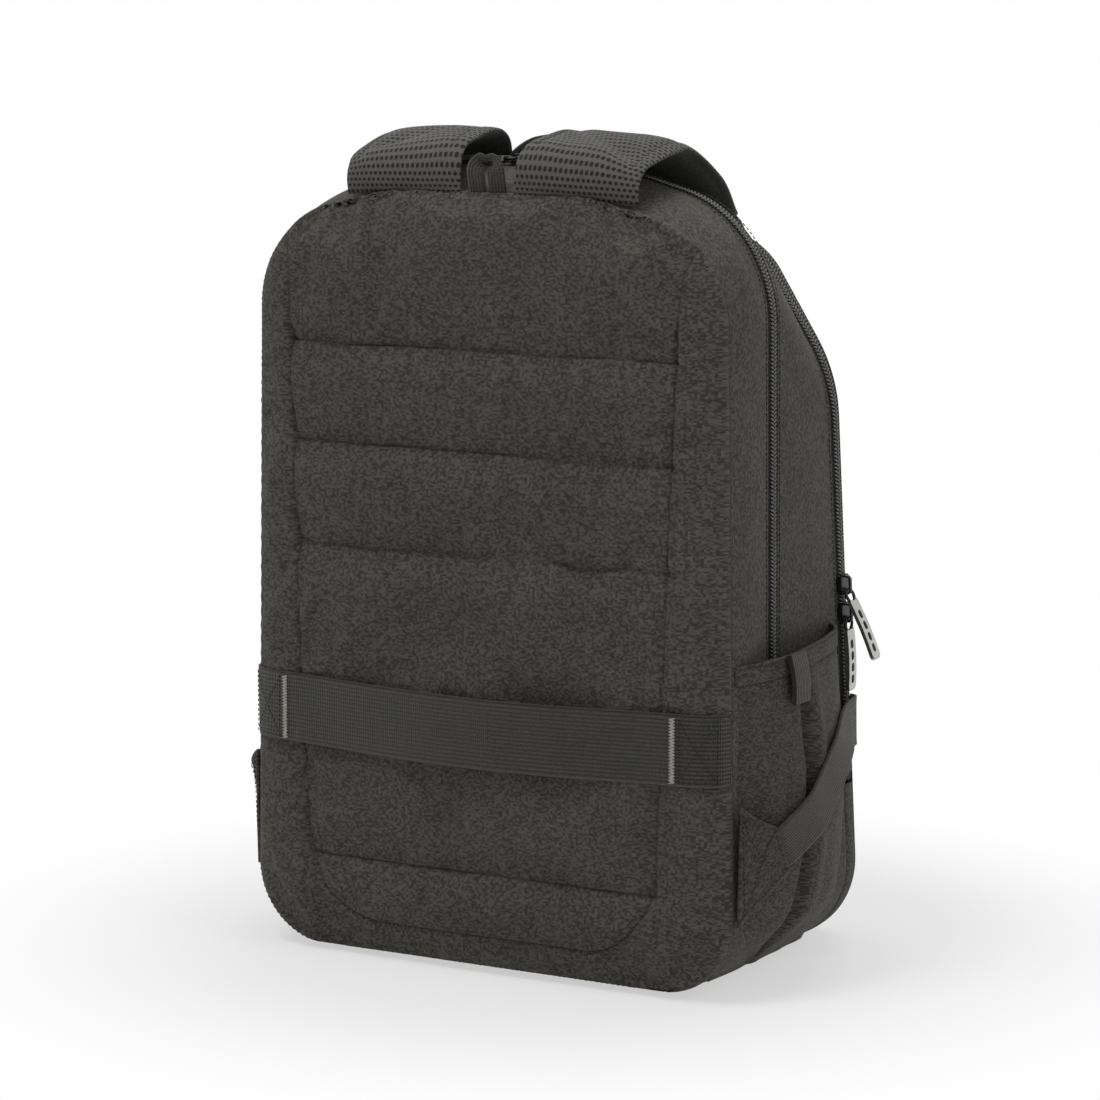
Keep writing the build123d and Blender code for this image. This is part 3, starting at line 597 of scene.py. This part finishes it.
def zip_path(arch, low_end, lift):
    """The zip's line above its lower ends: points, directions along, across and outwards."""
    line = arch.ring(2400, 0, -lift)
    line = line[line[:, 2] > low_end]
    along = unit(np.gradient(line, axis=0))
    across = np.tile([0.0, math.cos(arch.lean), math.sin(arch.lean)], (len(line), 1))
    return line, along, across, unit(np.cross(across, along))


def zip_chain(name, arch, low_end):
    """The woven tapes and the coil's interlocking turns."""
    for side, label in ((-1, "rear"), (1, "front")):
        strips = []
        for shift in np.linspace(0.5, TAPE_EDGE, 5):
            strip = arch.ring(RING, side * shift, TAPE_SUNK)
            strips.append(strip[strip[:, 2] > low_end])
        fewest = min(len(s) for s in strips)
        strips = [resample(s, fewest) for s in strips]
        tape = grid(f"{name}_tape_{label}", np.array(strips), TAPE, thick=TAPE_THICK, flip=side < 0)
        place(tape, [f"{name}_tapes"])
    pitch = 2.2
    line, along, across, out = zip_path(arch, low_end + 6, 0.12)
    length = np.linalg.norm(np.diff(line, axis=0), axis=1).sum()
    count = int(length / pitch)
    every = resample(np.hstack([line, along, across, out]), 2 * count)
    side = np.where(np.arange(2 * count) % 2, 1.0, -1.0)[:, None]
    at, t, a, o = every[:, :3], every[:, 3:6], every[:, 6:9], every[:, 9:]
    slant = a * side + 0.5 * t
    coil = scatter(f"{name}_teeth", at + a * side * 1.6 + o * 0.25, slant, t, (3.7, 1.5, 1.7), COIL)
    place(coil, [f"{name}_coil"])


def end_band(name, arch, low_end):
    """The closing strip below a zip's ends, round the base."""
    rows = [arch.ring(RING, shift, inset) for shift, inset in
            ((-TAPE_EDGE, 1.8), (-TAPE_EDGE, 0.2), (-2, -0.3), (2, -0.3), (TAPE_EDGE, 0.2), (TAPE_EDGE, 1.8))]
    start = int(np.argmax(rows[0][:, 2]))
    rows = [np.roll(r, -start, 0) for r in rows]
    keep = rows[2][:, 2] < low_end
    first, last = np.flatnonzero(keep)[[0, -1]]
    obj = grid(name, np.array([r[first:last + 1] for r in rows]), CLOTH, thick=1.4)
    place(obj, [name])


def front_panel():
    """The front pocket's domed face, and the strip that joins its edge to the pocket zip."""
    rows, cols = ((200, 140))
    x, z, away = panel_grid(front, rows, cols, 0.0)
    full = 1 - (1 - np.clip(away / 30, 0, 1)) ** 2
    rise = 11.0 * full**0.6 - 11.0 + 0.8 * waves(x, z, 75, 91) * np.clip(away / 30, 0, 1)
    rise = rise + 0.4 * waves(x, z, 24, 92) * np.clip(away / 20, 0, 1)
    c, s = math.cos(front.lean), math.sin(front.lean)
    points = np.stack([x, FRONT_Y - z * s + rise * c, z * c + rise * s], -1)
    obj = grid("front_panel_face", points, CLOTH, thick=2.0, flip=True, uv=np.stack([x, z], -1))
    place(obj, ["front_panel"])
    a, b = pocket.ring(RING, ZIP_EDGE), front.ring(RING, -11.0)
    rim = [pocket.ring(RING, ZIP_EDGE, 1.6)] + [a * (1 - t) + b * t for t in np.linspace(0, 1, 6)]
    place(grid("front_panel_rim", np.array(rim), CLOTH, closed=True, thick=2.0))


def seam_piping():
    """The thin rolled edge where the padded back is sewn to its gusset."""
    radius = 1.3
    turns = np.linspace(0, 2 * math.pi, 10)
    rings = [seam.ring(RING, radius * math.cos(t) - 0.2, radius * math.sin(t) + 0.2) for t in turns]
    place(grid("seam_piping", np.array(rings), PIPING, closed=True, flip=True))


# ---- webbing, straps and pockets ----------------------------------------------------------------------------------
def webbing(name, centre, side, width, material=WEBBING, thick=1.6, rows=15, wave=0.25, seed=5, lift=None):
    """A flat strip of webbing round a line, whose edges are slightly thicker and never quite straight."""
    centre, side = np.asarray(centre, float), unit(side)
    along = unit(np.gradient(centre, axis=0))
    side = unit(side - along * (side * along).sum(-1, keepdims=True))
    out = np.cross(along, side)
    run = np.concatenate([[0], np.cumsum(np.linalg.norm(np.diff(centre, axis=0), axis=1))])
    strips = []
    for k in np.linspace(-1, 1, rows):
        edge = 0.25 * abs(k) ** 6
        drift = wave * waves(run, run * 0 + k * 6, 38, seed)
        level = thick / 2 + edge + drift + (lift(run, k) if lift else 0)
        strips.append(centre + side * (k * width / 2) + out * np.reshape(level, (-1, 1)))
    return grid(name, np.array(strips), material, thick=thick, flip=True)


def trolley_band():
    """The band across the back: sewn flat at its ends, standing off and dipping in the middle."""
    half = [(154.6, -101.2), (151.0, -107.6), (143.5, -112.6), (133.0, -115.3), (120.0, -116.6), (96.0, -118.2),
            (62.0, -121.2), (30.0, -123.4), (0.0, -124.0)]
    flat = smooth_through([*half, *[(-x, y) for x, y in reversed(half[:-1])]], 340)
    middle = (BAND_LOW + BAND_HIGH) / 2
    dip = 1.8 * np.clip(1 - (np.abs(flat[:, 0]) / 118) ** 2, 0, 1)
    centre = np.stack([flat[:, 0], flat[:, 1], middle - dip], -1)
    side = np.tile([0.0, 0.0, 1.0], (len(centre), 1))
    cupped = lambda run, k: -0.6 * k * k * np.clip(1 - np.abs(centre[:, 0]) / 120, 0, 1)
    obj = webbing("trolley_band", centre, side, BAND_HIGH - BAND_LOW, BAND, 1.5, rows=27, lift=cupped)
    place(obj, ["trolley_band"])
    return centre


def zigzag(low, high, width, pitch):
    z = np.arange(low, high, pitch / 2)
    x = np.where(np.arange(len(z)) % 2, 1.0, -1.0) * width / 2
    return x, z


def band_details(centre):
    """Pale zigzag bar tacks, and dark box-and-cross stitching outside them."""
    at, along, across, dark = [], [], [], []
    order = np.argsort(centre[:, 0])
    for side in (-1, 1):
        x, z = zigzag(BAND_LOW + 1.5, BAND_HIGH - 1.5, 3.6, 1.7)
        x = x + side * BAND_TACK
        y = np.interp(x, centre[order, 0], centre[order, 1]) - 1.9
        line = np.stack([x, y, z], -1)
        at.append((line[1:] + line[:-1]) / 2)
        along.append(line[1:] - line[:-1])
        across.append(np.tile([0.0, 0.0, 1.0], (len(line) - 1, 1)))
        inner, outer = BAND_TACK + 4, 151.0
        low, high = BAND_LOW + 3, BAND_HIGH - 3
        box = [(inner, low), (outer, low), (outer, high), (inner, high), (inner, low), (outer, high)]
        for (x0, z0), (x1, z1) in zip([*box, (inner, high)], [*box[1:], (inner, high), (outer, low)]):
            if (x0, z0) == (outer, high) and (x1, z1) == (inner, high) and box[-1] == (x0, z0):
                continue
            x, z = side * np.linspace(x0, x1, 24), np.linspace(z0, z1, 24)
            y = np.interp(x, centre[order, 0], centre[order, 1]) - 1.75
            dark.append(stitches(np.stack([x, y, z], -1), np.tile([0.0, -1.0, 0.0], (24, 1)), 2.6))
    tacks = scatter("band_bar_tacks_thread", np.concatenate(at), np.concatenate(along), np.concatenate(across),
                    (4.0, 0.85, 0.8), PALE_THREAD)
    place(tacks, ["band_bar_tacks"])
    place(stitch_object("band_stitches", dark, DARK_THREAD, (2.0, 0.6, 0.5)))


POCKET_REAR, POCKET_FRONT = SEAM_Y + 3.0, MAIN_Y - 32.0
POCKET_SHAPE = np.array(((0.0, -0.15), (0.2, 0.60), (0.42, 0.98), (0.68, 1.0), (0.9, 0.62), (1.0, -0.15)))
POCKET_LEVELS = np.array(((10.0, -17.0, 0.06), (30.0, -5.0, 0.5), (52.0, 0.0, 0.88), (110.0, 0.0, 1.0),
                          (160.0, 0.0, 0.84), (215.0, 0.0, 0.5)))
POCKET_BULGE, RIM_REAR, RIM_FRONT = 22.0, 189.0, 198.0


def smooth_table(table, at):
    curve = smooth_through(table, 400)
    return [np.interp(at, curve[:, 0], curve[:, k]) for k in range(1, table.shape[1])]


def pocket_skin(along, z):
    (low,) = smooth_table(POCKET_SHAPE, along)
    rounding, share = smooth_table(POCKET_LEVELS, z)
    return HALF + rounding + share * POCKET_BULGE * low


def side_pocket(way, label):
    """A gusseted pocket of slack cloth, with a pleat below its loop, a folded hem and a loop of webbing."""
    rows, cols = 110, 110
    along = np.linspace(0, 1, cols)
    rim = RIM_REAR + (RIM_FRONT - RIM_REAR) * along
    level = np.linspace(0, 1, rows)[:, None]
    z = 10.0 + (rim - 10.0)[None, :] * level
    x = pocket_skin(np.broadcast_to(along, z.shape), z)
    y = np.broadcast_to(POCKET_REAR + along * (POCKET_FRONT - POCKET_REAR), z.shape)
    free = np.clip(along * 6, 0, 1) * np.clip((1 - along) * 6, 0, 1)
    middle = 0.455 - 0.09 * np.clip(1 - level * 1.6, 0, 1)
    beside = (along - middle) * (POCKET_FRONT - POCKET_REAR)
    pleat = -7.5 * np.exp(-np.where(beside > 0, beside / 2.6, beside / 5.0) ** 2) * np.clip((189 - z) / 22, 0, 1)
    pleat = pleat + 1.6 * np.exp(-((beside - 9) / 6) ** 2) * np.clip((189 - z) / 30, 0, 1)
    slack = 0.9 * waves(y, z * 0.5, 55, 70 + way) + 0.25 * waves(y, z, 22, 75 + way)
    x = x + free * (slack + pleat)
    hem = np.clip((z - (rim[None, :] - 12)) / 1.0, 0, 1)
    x = x + hem * 0.9 - 1.1 * np.exp(-((z - (rim[None, :] - 12)) / 1.4) ** 2)
    points = np.stack([way * x, y, z], -1)
    obj = grid(f"side_pocket_cloth_{label}", points, POCKET_CLOTH, thick=1.8, flip=way > 0,
               uv=np.stack([y, z], -1))
    place(obj, [f"side_pocket_{label}"])
    out = np.array([float(way), 0.0, 0.0])
    rows_of = []
    for drop in (12.0, 2.0):
        r = [int(np.argmin(np.abs(z[:, c] - (rim[c] - drop)))) for c in range(cols)]
        line = points[r, np.arange(cols)] + out * 0.35
        rows_of.append(stitches(line[3:-3], np.tile(out, (cols - 6, 1)), 2.8))
    place(stitch_object(f"pocket_stitches_{label}", rows_of, DARK_THREAD))
    at = 0.36
    loop_y = POCKET_REAR + at * (POCKET_FRONT - POCKET_REAR)
    top, low = RIM_REAR + 3.5, 165.0
    heights = np.linspace(low, top, 40)
    xs = pocket_skin(at, heights) + 2.2 + 1.2 * np.sin(np.linspace(0, math.pi, 40))
    centre = np.stack([way * xs, heights * 0 + loop_y, heights], -1)
    tab = webbing(f"pocket_loop_tab_{label}", centre[::way], np.tile([0.0, 1.0, 0.0], (40, 1)), 18.0, WEBBING, 2.4)
    place(tab, [f"pocket_loop_{label}"])


def front_face(z, off=0.0):
    return FRONT_Y - math.tan(FRONT_LEAN) * z + off


def strap_route():
    """Stations of the right shoulder strap, as the CAD's: x, y, z, half width and side direction."""
    half, tip, off = 39.0, 22.0, 3.0
    return np.array([
        (55.5, SEAM_Y + 1.0, seam.top - 2.4, half, -1, 0, 0.25),
        (56.0, SEAM_Y + 6.0, TOP + 1.0, half, -1, 0, 0.15),
        (57.5, SEAM_Y + 20.0, TOP + 7.0, half, -1, 0, 0.12),
        (61.0, LAPTOP_Y + 2.0, TOP + 10.0, half, -1, 0, 0.10),
        (69.0, LAPTOP_Y + 32.0, TOP - 6.0, half - 5, -1, 0, 0.12),
        (66.0, 6.0, main.top + 7.0, half - 8, -1, 0, 0.10),
        (54.0, 27.0, main.top, half - 7, -1, 0, 0.06),
        (48.0, front_face(392, 8), main.top - 18.0, half - 7, -1, 0, 0.03),
        (56.0, front_face(360, off), 360.0, half - 5, -1, 0, 0),
        (72.0, front_face(300, off), 300.0, half, -1, 0, 0),
        (84.0, front_face(250, off), 250.0, half, -1, 0, -0.12),
        (91.0, front_face(215, off), 215.0, half - 5, -1, 0, -0.26),
        (101.0, front_face(185, off), 185.0, tip, -1, 0, -0.37),
    ])


def shoulder_strap(way, label):
    """A padded strap: mesh above, lining below and binding round the edge, with creases where it bends."""
    curve = smooth_through(strap_route(), 230)
    curve = resample(curve, 230)
    centre, half, side = curve[:, :3], curve[:, 3], curve[:, 4:]
    along = unit(np.gradient(centre, axis=0))
    side = unit(side - along * (side * along).sum(-1, keepdims=True))
    out = np.cross(along, side)
    run = np.concatenate([[0], np.cumsum(np.linalg.norm(np.diff(centre, axis=0), axis=1))])
    count = 72
    turn = np.linspace(0, 2 * math.pi, count, endpoint=False)
    flat = np.sign(np.cos(turn)) * np.abs(np.cos(turn)) ** 0.5
    deep = np.sign(np.sin(turn)) * np.abs(np.sin(turn)) ** 0.85
    thick = 10.6
    strips = []
    for k in range(count):
        a = flat[k] * (half - 0.4)
        full = 1 - 0.42 * np.abs(flat[k]) ** 5
        level = thick / 2 + deep[k] * thick / 2 * full
        if deep[k] > 0.05:
            groove = np.exp(-((np.abs(a) - (half - 9)) / 1.8) ** 2)
            fold = 3.2 * np.exp(-((run - 40 - 0.5 * a) / 6) ** 2) + 1.8 * np.exp(-((run - 78 + 0.3 * a) / 8) ** 2)
            soft = 0.9 * waves(run, a, 42, 33 + way) - fold
            level = level - 1.2 * groove * np.clip(run / 40, 0, 1) + soft * (1 - np.abs(flat[k]) ** 4) * deep[k]
        root = np.clip(run / 22, 0, 1) ** 0.55
        ends = np.clip(root, 0.12, 1) * np.clip((run[-1] - run) / 5, 0.35, 1)
        level = 0.8 + (level - 0.8) * ends
        strips.append(centre + side * a[:, None] + out * np.reshape(level, (-1, 1)))
    points = np.array(strips)
    points[..., 0] *= way
    across = np.array([flat * 39.0, turn * 0]).T[:, 0]
    uv_u = np.concatenate([across, across[:1]])
    uv = np.stack(np.broadcast_arrays(uv_u[:, None] * 1.0, run[None, :]), -1)

    def layer_of(i, j):
        if -0.7 < deep[i] < -0.1 and abs(flat[i]) > 0.9:
            return 2
        return 0 if deep[i] > -0.1 else 1

    closed = np.concatenate([points, points[:1]], 0)
    obj = grid(f"shoulder_strap_{label}", closed, [MESH, LINING, BINDING], flip=way < 0, uv=uv, material_of=layer_of)
    close_ends(obj, count, len(run))
    place(obj, [f"strap_mesh_{label}", f"strap_foam_{label}", f"strap_lining_{label}"])
    rows, up = [], out * np.array([way, 1, 1])
    for edge in (-1, 1):
        k = int(np.argmin(np.abs(flat - edge * 0.78) + 10 * (deep < 0)))
        rows.append(stitches((points[k] + up * 0.2)[12:-8], up[12:-8], 3.2))
    place(stitch_object(f"strap_stitches_{label}", rows, DARK_THREAD))


def close_ends(obj, count, length):
    """Caps a swept loop whose first and last rows of points coincide."""
    import bmesh
    work = bmesh.new()
    work.from_mesh(obj.data)
    bmesh.ops.remove_doubles(work, verts=work.verts, dist=1e-6)
    rims = [e for e in work.edges if len(e.link_faces) == 1]
    bmesh.ops.holes_fill(work, edges=rims, sides=0)
    bmesh.ops.recalc_face_normals(work, faces=work.faces)
    work.to_mesh(obj.data)
    work.free()


def anchor_and_webbing(way, label):
    """The stitched triangle at the base and the webbing that runs from it round to the ladder lock."""
    mirror = np.array([way, 1, 1])
    climb, width = 0.62, 28.0

    def over(along, z, off):
        return (float(pocket_skin(along, z)) + off, POCKET_REAR + along * (POCKET_FRONT - POCKET_REAR), z)

    root, apex = np.array((HALF + 2.2, SEAM_Y + 1.3, 78.0)), np.array(over(0.20, 85.5, 3.4))
    share = np.linspace(0, 1, 26)[:, None]
    centre = root * (1 - share) + apex * share
    half = 34.0 * (1 - share) + 16.0 * share
    side = unit(np.array([0.0, 0.0, 1.0]) * (1 - share) + np.array([0.0, -climb, 1.0]) * share)
    strips = [centre + side * half * k + np.array([0.9, -0.5, 0.0]) * (1.6 + 0.5 * math.cos(k * 1.5))
              for k in np.linspace(-1, 1, 22)]
    obj = grid(f"anchor_tab_cloth_{label}", np.array(strips) * mirror, POCKET_CLOTH, thick=2.2, flip=way > 0)
    place(obj, [f"anchor_tab_{label}"])
    edge_rows, out = [], np.array([0.87, -0.5, 0.0])
    for k0, k1, s0, s1 in ((-0.86, -0.8, 0.08, 0.93), (0.86, 0.8, 0.08, 0.93), (-0.86, 0.86, 0.08, 0.08),
                           (-0.8, 0.8, 0.93, 0.93), (-0.86, 0.8, 0.08, 0.93), (0.86, -0.8, 0.08, 0.93)):
        s = np.linspace(s0, s1, 20)[:, None]
        k = np.linspace(k0, k1, 20)[:, None]
        line = root * (1 - s) + apex * s
        tilt = unit(np.array([0.0, 0.0, 1.0]) * (1 - s) + np.array([0.0, -climb, 1.0]) * s)
        line = line + tilt * (34.0 * (1 - s) + 16.0 * s) * k + out * 2.5
        edge_rows.append(stitches(line * mirror, np.tile(out * mirror, (20, 1)), 2.8))
    place(stitch_object(f"anchor_stitches_{label}", edge_rows, DARK_THREAD, (2.1, 0.6, 0.5)))

    lift = 2.8
    tip, before = strap_route()[-1][:3], strap_route()[-2][:3]
    ahead, across = unit(tip - before), unit([1.0, 0.0, 0.37])
    lock = tip + ahead * 24.0 + np.array([0.0, 4.9, 0.0])
    end = lock + ahead * 26.0
    route = np.array([
        (*over(0.17, 83.0, 1.4), 0, -climb, 1), (*over(0.26, 89.5, lift), 0, -climb, 1),
        (*over(0.45, 104.0, lift), 0, -climb, 1),
        (*over(0.70, 128.0, lift), 0, -climb, 1), (*over(0.88, 139.0, lift + 1.5), 0, -climb, 1),
        (HALF + 13, POCKET_FRONT + 3, 140.0, 0, -0.1, 1), (HALF + 6.2, POCKET_FRONT + 20, 138.0, 0, 0, 1),
        (HALF - 5.5, POCKET_FRONT + 37, 135.0, 0, 0.1, 1), (HALF - 13, front_face(132, -8), 131.0, 0.1, 0.1, 1),
        (HALF - 22, front_face(128, 5), 127.0, 0.35, 0, 1), (end[0] + 8, front_face(126, 8), end[2] - 9, 1, 0, 0.9),
        (*end, across[0], 0, across[2]),
    ])
    curve = smooth_through(route, 200)
    strip = webbing(f"lower_webbing_run_{label}", curve[:, :3] * mirror, curve[:, 3:] * mirror, width,
                    thick=1.5, lift=None, seed=8) if way > 0 else webbing(
        f"lower_webbing_run_{label}", (curve[:, :3] * mirror)[::-1], (curve[:, 3:] * mirror)[::-1], width,
        thick=1.5, seed=8)
    place(strip, [f"lower_webbing_{label}"])

    bar, bend, clear = 8.5, 12.0, 4.1
    for name, node, end_way, legs in (("lock_holder_loop", "lock_holder", -1, (19.0, 19.0)),
                                      ("webbing_free_end", "webbing_tail", 1, (34.0, 19.0))):
        shape = [(legs[0], clear), (bend + 3, clear), (bar - 0.3, 2.4), (bar - 0.3, -2.4), (bend + 3, -clear),
                 (legs[1], -clear)]
        flat = smooth_through(shape, 60)
        normal = unit(np.cross(across, ahead))
        points = lock + ahead * (end_way * flat[:, :1]) + normal * flat[:, 1:] * -1
        points = lock + ahead * (end_way * flat[:, :1]) - normal * flat[:, 1:] * -1
        loop = webbing(f"{name}_{label}", points * mirror, np.tile(across * mirror, (60, 1)), width, thick=1.4,
                       wave=0.0)
        place(loop, [f"{node}_{label}"])


def carry_handle():
    """The short ribbed handle on the top, between the straps."""
    curve = [(1.0, 0.015), (0.98, 0.30), (0.88, 0.62), (0.62, 0.88), (0.28, 0.98), (0.0, 1.0)]
    shape = [(31.0 * x, 28.0 * z) for x, z in curve]
    shape = smooth_through([*shape, *[(-x, z) for x, z in reversed(shape[:-1])]], 120)
    rear = np.array([0.0, LAPTOP_Y + ZIP_EDGE, TOP])
    c, s = math.cos(main.lean), math.sin(main.lean)
    ahead = np.array([0.0, MAIN_Y - ZIP_EDGE / c - main.top * s, main.top * c])
    slope = unit(ahead - rear)
    base, up = rear + (ahead - rear) * 0.42, np.array([0.0, -slope[2], slope[1]])
    centre = base + shape[:, :1] * np.array([-1.0, 0, 0]) + shape[:, 1:] * up
    obj = webbing("carry_handle_webbing", centre, np.tile(slope, (120, 1)), 22.0, thick=2.2, wave=0.2)
    place(obj, ["carry_handle"])


def hang_loop():
    """A loop of narrow webbing: its two ends lie side by side in the back seam and it rolls over at the top."""
    wide = 10.5
    half = [(-6.4, 0.0, 0.0, 1, 0, 0), (-6.6, -2.0, 7.0, 1, 0, 0), (-6.4, -2.8, 13.0, 1, 0.1, 0),
            (-4.2, -0.8, 17.0, 0.7, 0.7, 0), (0.0, 2.4, 18.0, 0, 1, 0)]
    other = [(-x, y, z, -sx, sy, sz) for x, y, z, sx, sy, sz in reversed(half[:-1])]
    curve = smooth_through([*half, *other], 110)
    centre = curve[:, :3] + np.array([0.0, SEAM_Y - 1.0, seam.top + 0.6])
    obj = webbing("hang_loop_webbing", centre, curve[:, 3:], wide, thick=1.3, wave=0.0, rows=9)
    place(obj, ["hang_loop"], body="hang_loop")


# ---- inside -------------------------------------------------------------------------------------------------------
def inside_sheet(name, node, arch, shift, inset, top, material, thick):
    """A wall inside the bag, filling an outline up to a height."""
    x, z, away = panel_grid(arch, 60, 50, inset)
    z = np.minimum(z, top)
    c, s = math.cos(arch.lean), math.sin(arch.lean)
    soft = 0.5 * waves(x, z, 60, 5) * np.clip(away / 20, 0, 1)
    points = np.stack([x, arch.y + shift / c - z * s + soft, z * c], -1)
    rows = int(np.argmax(z[:, 0] >= top - 0.01)) + 1
    obj = grid(name, points[:rows], material, thick=thick, uv=np.stack([x, z], -1)[:rows])
    place(obj, [node])


def carried_over():
    """Hard CAD nodes stay, with their edges softened and a material of their own."""
    for name, node in nodes.items():
        for ending, look in HARD_LOOKS:
            if ending in name and not node.hide_render:
                node.data.materials.clear()
                node.data.materials.append(look)
                soft = node.modifiers.new("edges", "BEVEL")
                soft.width, soft.segments, soft.limit_method = 0.25 * MM, 2, "ANGLE"
                break


# ---- stage --------------------------------------------------------------------------------------------------------
def area_light(name, at, size, power, target):
    lamp = bpy.data.lights.new(name, "AREA")
    lamp.shape, lamp.size, lamp.energy = "DISK", size, power
    obj = bpy.data.objects.new(name, lamp)
    obj.location = at
    obj.rotation_euler = (Vector(target) - Vector(at)).to_track_quat("-Z", "Y").to_euler()
    bpy.context.scene.collection.objects.link(obj)


def seen_directly(tree):
    """1 for what the camera sees itself, or in gloss or through glass; 0 for light that falls on things."""
    path = tree.nodes.new("ShaderNodeLightPath")
    total = path.outputs["Is Camera Ray"]
    for name in ("Is Glossy Ray", "Is Transmission Ray"):
        both = tree.nodes.new("ShaderNodeMath")
        both.operation = "MAXIMUM"
        tree.links.new(total, both.inputs[0])
        tree.links.new(path.outputs[name], both.inputs[1])
        total = both.outputs[0]
    return total


def floor_material():
    """A pale floor that fades to plain white away from the bag, and keeps the bag's shadow close to it."""
    look = Look("pale_floor", (0.93, 0.93, 0.93), 0.8)
    look.paint(look.tint(look.noise(3, (1, 1, 1), 2.0, "OBJECT"), 0.995, 1.005))
    where = look.node("ShaderNodeTexCoord").outputs["Object"]
    away = look.node("ShaderNodeVectorMath", operation="LENGTH")
    look.join(where, away.inputs[0])
    fade = look.node("ShaderNodeMapRange", interpolation_type="SMOOTHSTEP")
    fade.inputs["From Min"].default_value, fade.inputs["From Max"].default_value = 0.18, 0.42
    fade.inputs["To Min"].default_value, fade.inputs["To Max"].default_value = 0.55, 1.0
    look.join(away.outputs["Value"], fade.inputs["Value"])
    white = look.node("ShaderNodeEmission", Strength=1.0)
    white.inputs["Color"].default_value = (1, 1, 1, 1)
    mix = look.node("ShaderNodeMixShader")
    look.join(look.maths("MULTIPLY", fade.outputs[0], seen_directly(look.tree)), mix.inputs[0])
    look.join(look.base.outputs[0], mix.inputs[1])
    look.join(white.outputs[0], mix.inputs[2])
    look.join(mix.outputs[0], look.tree.nodes["Material Output"].inputs["Surface"])
    return look.made


def stage():
    """A white studio: pale floor, even surroundings and large soft lights above."""
    size = 6000.0
    floor = make_object("floor", [(-size, -size, -1), (size, -size, -1), (size, size, -1), (-size, size, -1)],
                        [(0, 1, 2, 3)], floor_material())
    world = bpy.data.worlds.new("studio")
    bpy.context.scene.world = world
    world.use_nodes = True
    tree = world.node_tree
    ground = tree.nodes["Background"]
    ground.inputs["Color"].default_value = (1, 1, 1, 1)
    level = tree.nodes.new("ShaderNodeMapRange")
    level.inputs["To Min"].default_value, level.inputs["To Max"].default_value = 0.30, 1.0
    tree.links.new(seen_directly(tree), level.inputs["Value"])
    tree.links.new(level.outputs[0], ground.inputs["Strength"])
    middle = (0, 0, 0.26)
    area_light("key", (-0.4, -1.0, 2.3), 0.9, 16, middle)
    area_light("right", (2.3, -0.5, 1.7), 1.2, 9, middle)
    area_light("top", (0.1, 0.3, 2.4), 1.4, 13, middle)
    bpy.context.scene.view_settings.view_transform = "Standard"


def camera():
    azimuth, elevation, distance = math.radians(30), math.radians(9), 2.42
    target = Vector((0.039, SEAM_Y * MM, 0.246))
    back = Vector((math.sin(azimuth) * math.cos(elevation), -math.cos(azimuth) * math.cos(elevation),
                   math.sin(elevation)))
    lens = bpy.data.cameras.new("camera")
    lens.lens, lens.sensor_width, lens.clip_end = 141.7, 36.0, 50.0
    obj = bpy.data.objects.new("camera", lens)
    obj.location = target + back * distance
    obj.rotation_euler = (-back).to_track_quat("-Z", "Y").to_euler()
    bpy.context.scene.collection.objects.link(obj)
    bpy.context.scene.camera = obj


# ---- the bag ------------------------------------------------------------------------------------------------------
camera()
stage()
panel = back_panel()
back_stitches(panel)
seam_piping()
sleeve("rear_gusset", seam, 0.3, laptop, -ZIP_EDGE, 22, 2.2, 11)
sleeve("middle_gusset", laptop, ZIP_EDGE, main, -ZIP_EDGE, 40, 1.6, 13)
sleeve("front_gusset", main, ZIP_EDGE, pocket, -ZIP_EDGE, 8, 0.3, 17)
front_panel()
for chain, arch, low_end in (("laptop_zip", laptop, 150.0), ("main_zip", main, 100.0),
                             ("front_pocket_zip", pocket, 120.0)):
    zip_chain(chain, arch, low_end)
    end_band(f"{chain}_end_band", arch, low_end)
edges = [seam_line(laptop, -ZIP_EDGE - 2.0, 0.45, 150), seam_line(
    laptop, ZIP_EDGE + 2.0, 0.45, 150), seam_line(main, -ZIP_EDGE - 2.0, 0.45, 100)]
place(stitch_object("shell_stitches", edges, DARK_THREAD))
band_details(trolley_band())
for way, label in ((1, "right"), (-1, "left")):
    side_pocket(way, label)
    shoulder_strap(way, label)
    anchor_and_webbing(way, label)
carry_handle()
hang_loop()
inside_sheet("back_lining_sheet", "back_lining", seam, 3.6, 3.8, 430, LINING, 0.8)
inside_sheet("laptop_divider_pad", "laptop_divider", laptop, 10.3, 6.0, 330, LINING, 5.4)
inside_sheet("front_divider_sheet", "front_divider", main, 6.6, 9.0, 415, LINING, 1.0)
carried_over()
